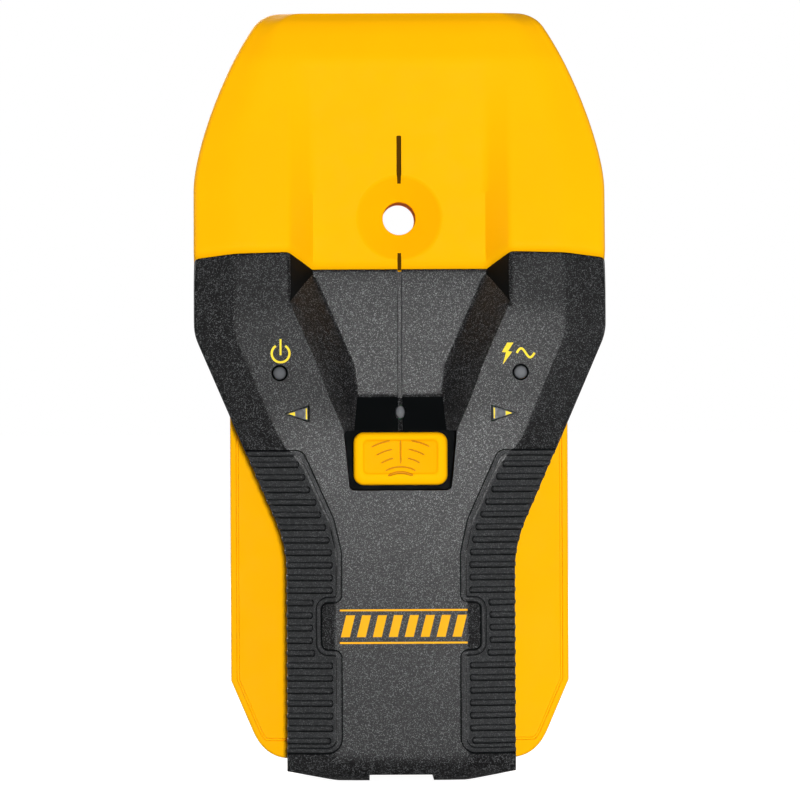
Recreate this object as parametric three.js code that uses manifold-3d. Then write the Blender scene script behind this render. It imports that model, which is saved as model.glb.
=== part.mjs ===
// A hand-held stud finder: a wide sensing head with a marking hole, on a waisted handle with a button.
// Every piece is drawn as the tool lies on its back: x across, y up from the bottom end,
// and z up from the rear face.
// The last lines stand the tool on its bottom end, so that +Z runs to the head and -Y out of the front.
import * as THREE from "three";
import { mergeVertices } from "three/addons/utils/BufferGeometryUtils.js";
import Module from "manifold-3d";

const wasm = await Module();
wasm.setup();

// ---- Driving dimensions, in millimetres ----
const LENGTH = 172;
const HEAD_HALF = 46;
const HANDLE_HALF = 25.6;
const WING_HALF = 38.4;
const THICKNESS = 34.6;
const WALL = 2;
const GAP = 0.15;

// outline of the head and handle, seen from the front
const HEAD_CORNER = { x: 26.8, y: 165, radius: 7, from: THREE.MathUtils.degToRad(33) };
const HEAD_SIDE_TOP = 132;
const SHOULDER_BEND = { x: HEAD_HALF, y: 100, reach: 2.2 };
const SIDE_SLOPE = 0.428;
const WAIST_BEND = { x: HANDLE_HALF, y: 52.6, reach: 5.7 };
const END_CORNER = 2.1;
const END_FLAT_HALF = 14.5;

// outline of the rear housing's wings
const WING_TOP = 83.6;
const WING_CHAMFER_TOP = 21.4;
const WING_FOOT = { x: 33.6, y: 10.2 };
const WING_CORNER_X = 30.9;
const WING_BOTTOM = 3.7;
const WING_THICK = 4.5;

// heights above the rear face
const HEAD_PARTING = 10;
const PARTING_STEP = 88;
const CHANNEL_FLOOR = 28.6;
const RIDGE = [
  [0, 28.6], [1.2, 30.4], [3.5, 31.4], [6, 31.8], [50, 33.8], [66, 34.4], [105, 34.6],
  [118.5, 34], [161.5, 28.6], [168.2, 26.4], [170.8, 24.9], [LENGTH, 23],
];
// the side leans back from a crease to a small rounded edge: the width of the lean and its drop
const LEAN_WIDE = [
  [0, 3], [END_CORNER, 10.6], [50, 10.8], [58, 11.4], [70, 11], [74, 9.6], [77, 8.7], [132, 9], [LENGTH, 5],
];
const LEAN_DROP = [
  [0, 0.6], [END_CORNER, 2.3], [58, 2.5], [70, 2.3], [76, 1.75], [118.5, 1.75], [140, 2.2], [LENGTH, 1.6],
];
const EDGE_ROUND = 0.9;

// channel down the middle
const CHANNEL_HALF = 19.3;
const CHANNEL_TOP_HALF = 24.6;
const CHANNEL_HEAD_END = 161.5;
// y, half width of the floor, half width at the ridge, height of the floor
const NARROWING = [
  [125, 24.4, 32.4, CHANNEL_FLOOR],
  [93, 10.5, 18.5, CHANNEL_FLOOR],
  [85.8, 9.6, 15.9, CHANNEL_FLOOR],
  [77.9, 10.4, 12, 32.7],
];
const SEAM = { y: 114.8, z: CHANNEL_FLOOR, rake: 0.685 };

const MARKING_HOLE = { y: 125.8, radius: 3.65, funnel: 9.4, funnelDeep: 4.1, tube: 5.8 };
const CENTRE_GROOVE = { half: 0.5, deep: 0.6, top: 144.3 };

// scan button and the switch under it
const BUTTON = { y: 72, half: 10.5, tall: 11.8, corner: 2.3, top: 34.3, skirt: 31.2, stem: 2.1 };
const POCKET_CLEARANCE = 0.7;
const SWITCH_SIDE = 6;

// indicator lenses
const ROUND_LENS = { x: 26.9, y: 91.2, radius: 1.35 };
const ARROW_LENS = { inner: 20.6, tip: 25.5, y: 82.1, half: 1.6 };
const CENTRE_LENS = { y: 82.4, radius: 1.15, top: 31.4 };
const LIGHT_PIPE_FOOT = 13;

// battery, its bay and its door
const BATTERY = { half: 13.25, bottom: 5.2, top: 51.6, rear: 3.5, front: 21, corner: 2.2 };
const TERMINAL_X = 6.35;
const DOOR = { half: 16.3, bottom: 3.7, hinge: 59, thick: 2, barrel: 1 };
const LATCH = { half: 6.4, bottom: 2.2, top: 4.4, tall: 9 };
const NOTCH_HALF = 7.2;
const NOTCH_DEEP = 1.3;

// circuit board
const BOARD_REAR = 8;
const BOARD_FRONT = 9.6;
const BOARD_OUTLINE = [
  [15, 61.5], [15, 70], [28, 78], [31, 90], [31, 103], [40.5, 107], [41, 128], [33, 158], [24, 165],
];
const BOARD_POSTS = [[-18, 100], [18, 100], [0, 160]];
const PLATE_THICK = 0.5;

// screws through the rear housing
const HOUSING_SCREWS = [[-34, 150], [34, 150], [-36.5, 96.5], [36.5, 96.5], [-20.4, 12], [20.4, 12]];
const SCREW = { head: 3.1, well: 3.4, wellDeep: 2.4, shank: 1.4, tip: 14 };
const BOSS = 3.3;
const HEAD_BOSS_FOOT = 7.2;

// hole tube of the rear cover, and grips
const TUBE_TOP = 21.3;
const GRIP_FOOT = 6.4;
const GRIP_THICK = 0.9;
const GRIP_NOTCH = [29.2, 40];

// battery leads
const LEAD = { radius: 0.7, steps: 14, sides: 8 };

const YELLOW = { color: 0xf9bd14, roughness: 0.45 };
const BLACK = { color: 0x222224, roughness: 0.6 };
const RUBBER = { color: 0x1b1b1c, roughness: 0.85 };
const SMOKE = { color: 0x3a3b40, roughness: 0.15 };
const BOARD_GREEN = { color: 0x1d5a34, roughness: 0.5 };
const COPPER = { color: 0xb8733a, roughness: 0.35, metalness: 1 };
const STEEL = { color: 0x9a9c9f, roughness: 0.35, metalness: 1 };
const CLEAR = { color: 0xe6ecef, roughness: 0.1 };

// ---- Solids: closed geometry in, manifold out, and back ----
function solid(geometry) {
  const bare = geometry.clone();
  bare.deleteAttribute("normal");
  bare.deleteAttribute("uv");
  const merged = mergeVertices(bare, 1e-4);
  return new wasm.Manifold(
    new wasm.Mesh({
      numProp: 3,
      vertProperties: new Float32Array(merged.attributes.position.array),
      triVerts: new Uint32Array(merged.index.array),
    }),
  );
}

function geometryOf(manifold) {
  const mesh = manifold.getMesh();
  const positions = new Float32Array(mesh.numVert * 3);
  for (let i = 0; i < mesh.numVert; i++) {
    positions.set(mesh.vertProperties.subarray(i * mesh.numProp, i * mesh.numProp + 3), i * 3);
  }
  const geometry = new THREE.BufferGeometry();
  geometry.setAttribute("position", new THREE.BufferAttribute(positions, 3));
  geometry.setIndex(new THREE.BufferAttribute(new Uint32Array(mesh.triVerts), 1));
  geometry.computeVertexNormals();
  return geometry;
}

function box(x0, x1, y0, y1, z0, z1) {
  const shape = new THREE.BoxGeometry(x1 - x0, y1 - y0, z1 - z0);
  shape.translate((x0 + x1) / 2, (y0 + y1) / 2, (z0 + z1) / 2);
  return solid(shape);
}

// an upright cylinder or cone at x, y
function rod(x, y, z0, z1, radius, topRadius = radius, sides = 20) {
  const shape = new THREE.CylinderGeometry(topRadius, radius, z1 - z0, sides);
  shape.rotateX(Math.PI / 2);
  shape.translate(x, y, (z0 + z1) / 2);
  return solid(shape);
}

// a round bar lying across the tool
function crossRod(x0, x1, y, z, radius, sides = 16) {
  const shape = new THREE.CylinderGeometry(radius, radius, x1 - x0, sides);
  shape.rotateZ(Math.PI / 2);
  shape.translate((x0 + x1) / 2, y, z);
  return solid(shape);
}

// a flat outline, given as points or a THREE.Shape, raised from z0 to z1
function slab(outline, z0, z1, curveSegments = 5) {
  const drawn = Array.isArray(outline);
  const shape = drawn ? new THREE.Shape(outline.map(([x, y]) => new THREE.Vector2(x, y))) : outline;
  const raised = new THREE.ExtrudeGeometry(shape, { depth: z1 - z0, bevelEnabled: false, curveSegments });
  raised.translate(0, 0, z0);
  return solid(raised);
}

function roundedRectangle(x0, x1, y0, y1, radius) {
  const shape = new THREE.Shape();
  shape.absarc(x1 - radius, y1 - radius, radius, 0, Math.PI / 2);
  shape.absarc(x0 + radius, y1 - radius, radius, Math.PI / 2, Math.PI);
  shape.absarc(x0 + radius, y0 + radius, radius, Math.PI, Math.PI * 1.5);
  shape.absarc(x1 - radius, y0 + radius, radius, Math.PI * 1.5, Math.PI * 2);
  return shape;
}

// a skin stretched over closed rings of points, each ring at a larger y than the last
function loft(rings) {
  const count = rings[0].length;
  const geometry = new THREE.BufferGeometry();
  geometry.setAttribute("position", new THREE.Float32BufferAttribute(rings.flat(2), 3));
  const index = [];
  for (let r = 0; r + 1 < rings.length; r++) {
    for (let i = 0; i < count; i++) {
      const a = r * count + i;
      const b = r * count + ((i + 1) % count);
      index.push(a, a + count, b, b, a + count, b + count);
    }
  }
  const last = (rings.length - 1) * count;
  for (let i = 1; i + 1 < count; i++) {
    index.push(0, i, i + 1);
    index.push(last, last + i + 1, last + i);
  }
  geometry.setIndex(index);
  return solid(geometry);
}

// straight-line interpolation in a table of [y, value] with y rising
function along(table, y) {
  const next = table.findIndex(([at]) => at >= y);
  if (next === 0) return table[0][1];
  if (next < 0) return table.at(-1)[1];
  const [y0, v0] = table[next - 1];
  const [y1, v1] = table[next];
  return v0 + ((v1 - v0) * (y - y0)) / (y1 - y0);
}

const both = [-1, 1];
const mirrored = (points) => [...points, ...points.map(([x, y]) => [-x, y]).reverse()];
const joined = (solids) => solids.reduce((sum, next) => sum.add(next));

// ---- Outline of the head and handle ----
function addHeadOutline(path) {
  const { x, y, radius, from } = HEAD_CORNER;
  const end = { x: x + radius * Math.cos(from), y: y + radius * Math.sin(from) };
  const pull = 14;
  const bend = { x: end.x + pull * Math.sin(from), y: end.y - pull * Math.cos(from) };
  path.bezierCurveTo(HEAD_HALF, HEAD_SIDE_TOP + 8, bend.x, bend.y, end.x, end.y);
  path.absarc(x, y, radius, from, Math.PI / 2, false);
}

function halfOutline() {
  const path = new THREE.Path();
  path.moveTo(END_FLAT_HALF, 0);
  path.lineTo(HANDLE_HALF, END_CORNER);
  const waist = WAIST_BEND;
  path.lineTo(waist.x, waist.y - waist.reach);
  path.quadraticCurveTo(waist.x, waist.y, waist.x + waist.reach * SIDE_SLOPE, waist.y + waist.reach);
  const shoulder = SHOULDER_BEND;
  path.lineTo(shoulder.x - shoulder.reach * SIDE_SLOPE, shoulder.y - shoulder.reach);
  path.quadraticCurveTo(shoulder.x, shoulder.y, shoulder.x, shoulder.y + shoulder.reach);
  path.lineTo(HEAD_HALF, HEAD_SIDE_TOP);
  addHeadOutline(path);
  return path.getPoints(16).map((p) => [p.y, p.x]);
}
const HALF_WIDTH = halfOutline();

// One cross-section of the front of the tool, as a ring; grow swells it, or thins it when negative.
function crossSection(y, bottom, grow) {
  const half = along(HALF_WIDTH, y) + grow;
  const top = along(RIDGE, y) + grow;
  const edge = top - along(LEAN_DROP, y);
  const side = [
    [half, y, bottom],
    [half, y, edge - EDGE_ROUND],
    [half - 0.3 * EDGE_ROUND, y, edge - 0.3 * EDGE_ROUND],
    [half - EDGE_ROUND, y, edge],
    [half - along(LEAN_WIDE, y), y, top],
  ];
  return [...side, ...side.map(([x, , z]) => [-x, y, z]).reverse()];
}

const bodyLoft = (stations, bottom, grow = 0) => loft(stations.map((y) => crossSection(y, bottom, grow)));
const FRONT_STATIONS = [
  0, 1.2, END_CORNER, 3.5, 6, 26, 46.9, 50, 53, 58.3, 66, 74, 77, 97.8, 99.5, 102.2, 105, 122,
];
const HEAD_STATIONS = [101, 105, 118.5, 125, 132, 138, 145, 153, 161.5, 165, 168.2, 170.8, LENGTH];

// The channel's space, from its floor to well above the ridge; wall deepens and widens it.
function channelRing(y, floorHalf, topHalf, floor, wall) {
  const ridge = along(RIDGE, y);
  const lean = (topHalf - floorHalf) / Math.max(ridge - floor, 0.5);
  const lid = ridge + 3;
  const ring = [
    [floorHalf + wall, y, floor - wall],
    [topHalf + wall, y, ridge],
    [topHalf + wall + Math.min(lean, 1.5) * 3, y, lid],
  ];
  return [...ring, ...ring.map(([x, , z]) => [-x, y, z]).reverse()];
}

function straightChannel(wall = 0) {
  const stations = [70, 105, 118.5, CHANNEL_HEAD_END];
  return loft(stations.map((y) => channelRing(y, CHANNEL_HALF, CHANNEL_TOP_HALF, CHANNEL_FLOOR, wall)));
}

function narrowingChannel(wall = 0) {
  const rows = [...NARROWING].reverse();
  return loft(rows.map((row) => channelRing(...row, wall)));
}

const frontChannel = (wall = 0) => straightChannel(wall).intersect(narrowingChannel(wall));

// everything on the head's side of the raked seam, from back behind it
function headSide(back) {
  const reach = 60;
  const line = (z) => SEAM.y + SEAM.rake * (z - SEAM.z) - back;
  const profile = new THREE.Shape([
    new THREE.Vector2(line(-reach), -reach),
    new THREE.Vector2(LENGTH + reach, -reach),
    new THREE.Vector2(LENGTH + reach, reach),
    new THREE.Vector2(line(reach), reach),
  ]);
  const wedge = new THREE.ExtrudeGeometry(profile, { depth: 2 * reach, bevelEnabled: false });
  // the profile is drawn in y and z, so x, y, z of the wedge become y, z, x
  wedge.applyMatrix4(new THREE.Matrix4().set(0, 0, 1, -reach, 1, 0, 0, 0, 0, 1, 0, 0, 0, 0, 0, 1));
  return solid(wedge);
}

// ---- Housing ----
function screwBoss([x, y], foot, outer) {
  const post = rod(x, y, foot, THICKNESS, BOSS, BOSS, 16).intersect(outer);
  return post.subtract(rod(x, y, foot - 1, SCREW.tip + 2, SCREW.shank + 0.15, SCREW.shank + 0.15, 12));
}

// the sighting groove in the channel's floor
function centreGroove(y0, y1) {
  return box(-CENTRE_GROOVE.half, CENTRE_GROOVE.half, y0, y1, CHANNEL_FLOOR - CENTRE_GROOVE.deep, THICKNESS);
}

function makeHeadCover() {
  const outer = bodyLoft(HEAD_STATIONS, HEAD_PARTING + GAP).subtract(straightChannel());
  const inner = bodyLoft([100, 118.5, 132, 145, 158, 166, 169.6], 0, -WALL).subtract(straightChannel(WALL));
  const { y, radius, funnel: mouth, funnelDeep } = MARKING_HOLE;
  const foot = CHANNEL_FLOOR - funnelDeep;
  const seat = mouth + 1.4;
  const funnelSeat = rod(0, y, foot - 3, CHANNEL_FLOOR - 1, seat, seat, 32);
  const lean = (mouth - radius) / funnelDeep;
  const funnel = rod(0, y, foot, CHANNEL_FLOOR + 1, radius, mouth + lean, 32);
  const hole = rod(0, y, 0, THICKNESS, radius, radius, 32);
  const groove = centreGroove(100, CENTRE_GROOVE.top);
  const bosses = HOUSING_SCREWS.slice(0, 2).map((at) => screwBoss(at, HEAD_BOSS_FOOT, outer));
  return outer
    .subtract(inner)
    .add(funnelSeat)
    .add(joined(bosses))
    .intersect(headSide(-GAP))
    .subtract(funnel)
    .subtract(hole)
    .subtract(groove);
}

function endSkirt() {
  const half = [[HANDLE_HALF, WING_BOTTOM - 0.3], [HANDLE_HALF, END_CORNER], [END_FLAT_HALF, 0]];
  return slab(mirrored(half).reverse(), 0.4, 8);
}

function gripOutline(side, inset) {
  const reach = 60;
  const waist = 13.4;
  const step = 18;
  const [notchLow, notchHigh] = GRIP_NOTCH;
  const points = [
    [reach, 73.8 - inset],
    [23.4 + inset, 73.8 - inset],
    [21 + inset, 72.2 - inset],
    [15 + inset, 58.4],
    [waist + inset, 51],
    [waist + inset, notchHigh + 1.2 + inset],
    [waist + 1.2 + inset, notchHigh + inset],
    [step - 1 + inset, notchHigh + inset],
    [step + inset, notchHigh - 1 + inset],
    [step + inset, notchLow + 1 - inset],
    [step - 1 + inset, notchLow - inset],
    [waist + 1.2 + inset, notchLow - inset],
    [waist + inset, notchLow - 1.2 - inset],
    [waist + inset, 9.6 + inset],
    [waist + 1 + inset, 7.2 + inset],
    [waist + 3.4 + inset, 6.2 + inset],
    [reach, 6.2 + inset],
  ];
  const outline = points.map(([x, y]) => [side * x, y]);
  return side > 0 ? outline.reverse() : outline;
}

function gripBed(side) {
  return slab(gripOutline(side, 0), GRIP_FOOT, 60).subtract(bodyLoft(FRONT_STATIONS, 0, -GRIP_THICK));
}

function makeGrip(side) {
  const skin = bodyLoft(FRONT_STATIONS, 0).subtract(bodyLoft(FRONT_STATIONS, -5, GAP - GRIP_THICK));
  return slab(gripOutline(side, GAP), GRIP_FOOT + GAP, 60).intersect(skin);
}

const arrowOutline = (side, clear) => {
  const { inner, tip, y, half } = ARROW_LENS;
  const base = inner - clear;
  const points = [[base, y - half - clear], [tip + 1.6 * clear, y], [base, y + half + clear]];
  const outline = points.map(([x, at]) => [side * x, at]);
  return side > 0 ? outline : outline.reverse();
};

function lensOpening(x, { y, radius }) {
  return rod(x, y, 20, 60, radius + GAP, radius + GAP, 12);
}

function makeFrontCover() {
  const outer = bodyLoft(FRONT_STATIONS, WING_THICK + GAP).subtract(frontChannel());
  const insideStations = [WING_BOTTOM, 6, 26, 46.9, 53, 60, 66, 77, 98, 102, 125];
  const inner = bodyLoft(insideStations, 0, -WALL).subtract(frontChannel(WALL));
  const pocket = {
    half: BUTTON.half + POCKET_CLEARANCE,
    low: BUTTON.y - BUTTON.tall / 2 - POCKET_CLEARANCE,
    high: BUTTON.y + BUTTON.tall / 2 + 0.4,
  };
  const openings = [
    box(-pocket.half, pocket.half, pocket.low, pocket.high, 20, 60),
    box(-60, 60, PARTING_STEP, 130, 0, HEAD_PARTING + GAP),
    box(-NOTCH_HALF, NOTCH_HALF, -1, NOTCH_DEEP, -1, 60),
    box(-NOTCH_HALF + 0.2, NOTCH_HALF - 0.2, -1, WING_BOTTOM + 1, -1, LATCH.tall + 0.6),
    lensOpening(0, CENTRE_LENS),
    centreGroove(86, 130),
    ...both.map((side) => lensOpening(side * ROUND_LENS.x, ROUND_LENS)),
    ...both.map((side) => slab(arrowOutline(side, GAP), 20, 60)),
    ...both.map(gripBed),
    headSide(0),
  ];
  const bossFoot = (y) => (y > PARTING_STEP ? HEAD_BOSS_FOOT : WING_THICK + 0.3);
  const bosses = HOUSING_SCREWS.slice(2).map((at) => screwBoss(at, bossFoot(at[1]), outer));
  const shell = outer.subtract(inner).add(joined(bosses)).add(endSkirt());
  return openings.reduce((rest, opening) => rest.subtract(opening), shell);
}

function rearOutline(inset) {
  const path = new THREE.Path();
  path.moveTo(0, WING_BOTTOM);
  path.lineTo(25, WING_BOTTOM);
  path.quadraticCurveTo(WING_CORNER_X, WING_BOTTOM, WING_FOOT.x, WING_FOOT.y);
  path.lineTo(WING_HALF, WING_CHAMFER_TOP);
  path.lineTo(WING_HALF, WING_TOP);
  path.lineTo(HEAD_HALF - 0.2, SHOULDER_BEND.y + 1);
  path.lineTo(HEAD_HALF, HEAD_SIDE_TOP);
  addHeadOutline(path);
  const half = path.getPoints(8).map((p) => [p.x - inset, Math.min(p.y, LENGTH - inset)]);
  return mirrored(half.filter(([x]) => x > 0));
}

const above = (y) => box(-HEAD_HALF - 1, HEAD_HALF + 1, y, LENGTH + 1, -1, THICKNESS);

// the open slot in which one of the door's hinge stubs turns
function stubSlot(side) {
  const ends = [side * DOOR.half, side * (DOOR.half + 1.6)];
  return box(Math.min(...ends), Math.max(...ends), DOOR.hinge - 0.9, DOOR.hinge + 0.9, -1, 1.9);
}

function makeRearCover() {
  const wings = slab(rearOutline(0), 0, WING_THICK);
  const head = slab(rearOutline(0), 0, HEAD_PARTING).intersect(above(PARTING_STEP + GAP));
  const hollow = slab(rearOutline(WALL), WALL, HEAD_PARTING + 5).intersect(above(PARTING_STEP - 4));
  const tube = rod(0, MARKING_HOLE.y, 0, TUBE_TOP, MARKING_HOLE.tube, MARKING_HOLE.tube, 32);
  const wellBosses = HOUSING_SCREWS.slice(0, 4).map(([x, y]) => rod(x, y, 0.5, 7, SCREW.well + 1.2));
  const posts = BOARD_POSTS.map(([x, y]) => rod(x, y, 0.5, BOARD_REAR - 0.1, 2.6, 2.3, 16));
  const shell = wings.add(head).subtract(hollow).add(joined([tube, ...wellBosses, ...posts]));
  const openings = [
    ...HOUSING_SCREWS.map(([x, y]) => rod(x, y, -1, SCREW.wellDeep, SCREW.well)),
    ...HOUSING_SCREWS.map(([x, y]) => rod(x, y, -1, 9, SCREW.shank + 0.2, SCREW.shank + 0.2, 12)),
    ...BOARD_POSTS.map(([x, y]) => rod(x, y, 3, 10, 1.05, 1.05, 10)),
    rod(0, MARKING_HOLE.y, -1, 30, MARKING_HOLE.radius, MARKING_HOLE.radius, 32),
    box(-DOOR.half - 0.3, DOOR.half + 0.3, 0, DOOR.hinge + DOOR.barrel + 0.3, -1, LATCH.tall),
    ...both.map(stubSlot),
  ];
  return openings.reduce((rest, opening) => rest.subtract(opening), shell);
}

function makeHousingScrew([x, y]) {
  const head = rod(x, y, 0.6, SCREW.wellDeep - 0.1, SCREW.head, SCREW.head, 16);
  const shank = rod(x, y, 1, SCREW.tip, SCREW.shank, SCREW.shank * 0.7, 10);
  const arm = { half: 1.7, thick: 0.35, top: 1.5 };
  const across = box(x - arm.half, x + arm.half, y - arm.thick, y + arm.thick, 0, arm.top);
  const down = box(x - arm.thick, x + arm.thick, y - arm.half, y + arm.half, 0, arm.top);
  return head.add(shank).subtract(across).subtract(down);
}

// ---- Battery, bay and door ----
function makeBatteryDoor() {
  const panel = slab(roundedRectangle(-DOOR.half, DOOR.half, DOOR.bottom, DOOR.hinge, 0.6), 0, DOOR.thick);
  const topCorners = box(-DOOR.half, DOOR.half, DOOR.hinge - 2, DOOR.hinge, 0, DOOR.thick);
  const barrel = crossRod(-DOOR.half, DOOR.half, DOOR.hinge, DOOR.barrel, DOOR.barrel);
  const stubs = crossRod(-DOOR.half - 1.3, DOOR.half + 1.3, DOOR.hinge, DOOR.barrel, 0.7, 12);
  const latch = box(-LATCH.half, LATCH.half, LATCH.bottom, LATCH.top, 0, LATCH.tall);
  const grooves = [0, 1, 2, 3].map((i) => box(-7, 7, 7 + i * 2.4, 8 + i * 2.4, -1, 0.5));
  const shell = joined([panel, topCorners, barrel, stubs, latch]);
  return grooves.reduce((rest, groove) => rest.subtract(groove), shell);
}

// a bar of the given x-z outline that runs along y
function lengthwise(outline, y0, y1) {
  const bar = new THREE.ExtrudeGeometry(outline, { depth: y1 - y0, bevelEnabled: false, curveSegments: 4 });
  bar.rotateX(Math.PI / 2);
  bar.translate(0, y1, 0);
  return solid(bar);
}

const batteryMiddle = (BATTERY.rear + BATTERY.front) / 2;

function makeBattery() {
  const outline = roundedRectangle(-BATTERY.half, BATTERY.half, BATTERY.rear, BATTERY.front, BATTERY.corner);
  return lengthwise(outline, BATTERY.bottom, BATTERY.top);
}

function upright(x, y0, y1, radius, sides) {
  const shape = new THREE.CylinderGeometry(radius, radius, y1 - y0, sides);
  shape.translate(x, (y0 + y1) / 2, batteryMiddle);
  return solid(shape);
}

function makeSnapConnector() {
  const outline = roundedRectangle(-12.2, 12.2, batteryMiddle - 6, batteryMiddle + 6, 5);
  const pockets = both.map((side) => upright(side * TERMINAL_X, 51, 54.2, 4.6, 20));
  return lengthwise(outline, BATTERY.top + 0.3, BATTERY.top + 4.2).subtract(pockets[0]).subtract(pockets[1]);
}

function makeLead(side) {
  const route = [
    [side * 3, BATTERY.top + 4.4, batteryMiddle + 2],
    [side * 3, BATTERY.top + 6.5, batteryMiddle + 2],
    [side * 5, 62, batteryMiddle + 1],
    [side * 8, 65, 12.6],
    [side * 8.4, 65.6, BOARD_FRONT + 0.2],
  ];
  const extrudePath = new THREE.CatmullRomCurve3(route.map((p) => new THREE.Vector3(...p)));
  const section = new THREE.Shape();
  section.absarc(0, 0, LEAD.radius, 0, Math.PI * 2);
  const options = { extrudePath, steps: LEAD.steps, curveSegments: LEAD.sides / 2 };
  return solid(new THREE.ExtrudeGeometry(section, options));
}

// ---- Electronics ----
function makeBoard() {
  const holes = [
    rod(0, MARKING_HOLE.y, 0, 20, MARKING_HOLE.tube + 0.5, MARKING_HOLE.tube + 0.5, 24),
    ...HOUSING_SCREWS.slice(0, 4).map(([x, y]) => rod(x, y, 0, 20, SCREW.well + 1.6, SCREW.well + 1.6, 16)),
    ...BOARD_POSTS.map(([x, y]) => rod(x, y, 0, 20, 1.15, 1.15, 10)),
  ];
  const board = slab(mirrored(BOARD_OUTLINE), BOARD_REAR, BOARD_FRONT);
  return holes.reduce((rest, hole) => rest.subtract(hole), board);
}

function makeSensorPlate(x0, x1, y0, y1) {
  return box(x0, x1, y0, y1, BOARD_REAR - 0.1 - PLATE_THICK, BOARD_REAR - 0.1);
}

function makeBoardScrew([x, y]) {
  const head = rod(x, y, BOARD_FRONT + 0.1, BOARD_FRONT + 1.5, 2, 1.6, 16);
  const shank = rod(x, y, 4, BOARD_FRONT + 0.5, 0.85, 0.85, 10);
  return head.add(shank).subtract(box(x - 1.2, x + 1.2, y - 0.25, y + 0.25, BOARD_FRONT + 0.9, 13));
}

function revolved(profile, x, y, sides = 20) {
  const shape = new THREE.LatheGeometry(profile.map(([r, z]) => new THREE.Vector2(r, z)), sides);
  shape.rotateX(Math.PI / 2);
  shape.translate(x, y, 0);
  return solid(shape);
}

// a light-emitting diode: a rim on the board and a domed body
const makeLed = (x, y) => {
  const z = BOARD_FRONT + 0.1;
  const rim = [[0, z], [1.5, z], [1.5, z + 0.6]];
  const dome = [[1.3, z + 0.6], [1.3, z + 1.8], [0.9, z + 2.6], [0, z + 2.9]];
  return revolved([...rim, ...dome], x, y, 14);
};

// a light pipe from above its diode to a domed top in the front surface
function makeRoundLens(x, y, radius, top) {
  const dome = [[radius, top - 0.7], [radius * 0.72, top - 0.2], [0, top]];
  return revolved([[0, LIGHT_PIPE_FOOT], [radius, LIGHT_PIPE_FOOT], ...dome], x, y, 16);
}

function makeArrowLens(side) {
  const top = THICKNESS - 0.3;
  return slab(arrowOutline(side, 0), LIGHT_PIPE_FOOT, top);
}

function makeScanButton() {
  const { y, half, tall, corner, top, skirt, stem } = BUTTON;
  const low = y - tall / 2;
  const cap = slab(roundedRectangle(-half, half, low, low + tall, corner), skirt, top);
  const rim = 2.2;
  const dishOutline = roundedRectangle(-half + rim, half - rim, low + rim, low + tall - rim, 1.4);
  const dish = slab(dishOutline, top - 0.6, top + 1);
  const flange = box(-half - 2.3, half + 2.3, low - 1.6, y + 2.8, skirt - 1, skirt);
  const post = rod(0, y, 15.1, skirt, stem, stem, 16);
  return cap.subtract(dish).add(flange).add(post);
}

function makeSwitchBody() {
  const half = SWITCH_SIDE / 2;
  const bottom = BOARD_FRONT + 0.1;
  const body = box(-half, half, BUTTON.y - half, BUTTON.y + half, bottom, bottom + 3.5);
  return body.subtract(rod(0, BUTTON.y, bottom + 0.6, 20, 1.9, 1.9, 16));
}

// ---- Assembly ----
const tool = new THREE.Group();

function add(name, manifold, finish) {
  const mesh = new THREE.Mesh(geometryOf(manifold), new THREE.MeshStandardMaterial(finish));
  mesh.name = name;
  tool.add(mesh);
}

const sideName = (side) => (side < 0 ? "left" : "right");

add("rear_cover", makeRearCover(), YELLOW);
add("head_cover", makeHeadCover(), YELLOW);
add("front_cover", makeFrontCover(), BLACK);
for (const side of both) {
  add(`${sideName(side)}_grip`, makeGrip(side), RUBBER);
  add(`${sideName(side)}_arrow_lens`, makeArrowLens(side), SMOKE);
  add(`${sideName(side)}_arrow_led`, makeLed(side * 22.6, ARROW_LENS.y), CLEAR);
}
add("scan_button", makeScanButton(), YELLOW);
add("switch_body", makeSwitchBody(), BLACK);
add("switch_plunger", rod(0, BUTTON.y, BOARD_FRONT + 1.7, 15, 1.7, 1.6, 16), STEEL);
add("power_lens", makeRoundLens(-ROUND_LENS.x, ROUND_LENS.y, ROUND_LENS.radius, THICKNESS - 0.3), SMOKE);
add("live_wire_lens", makeRoundLens(ROUND_LENS.x, ROUND_LENS.y, ROUND_LENS.radius, THICKNESS - 0.3), SMOKE);
add("centre_lens", makeRoundLens(0, CENTRE_LENS.y, CENTRE_LENS.radius, CENTRE_LENS.top), SMOKE);
add("power_led", makeLed(-ROUND_LENS.x, ROUND_LENS.y), CLEAR);
add("live_wire_led", makeLed(ROUND_LENS.x, ROUND_LENS.y), CLEAR);
add("centre_led", makeLed(0, CENTRE_LENS.y), CLEAR);

add("main_board", makeBoard(), BOARD_GREEN);
add("left_sensor_plate", makeSensorPlate(-34, -14, 108, 142), COPPER);
add("centre_sensor_plate", makeSensorPlate(-10, 10, 134, 155), COPPER);
add("right_sensor_plate", makeSensorPlate(14, 34, 108, 142), COPPER);
add("processor_chip", box(-6, 6, 101, 113, BOARD_FRONT + 0.1, BOARD_FRONT + 1.7), BLACK);
add("buzzer", rod(0, 91.5, BOARD_FRONT + 0.1, BOARD_FRONT + 4.6, 6, 6, 24), BLACK);
add("capacitor", rod(-11, 76.5, BOARD_FRONT + 0.1, BOARD_FRONT + 8.1, 3.1, 3.1, 20), STEEL);
BOARD_POSTS.forEach((at, i) => add(`board_screw_${i + 1}`, makeBoardScrew(at), STEEL));

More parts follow.
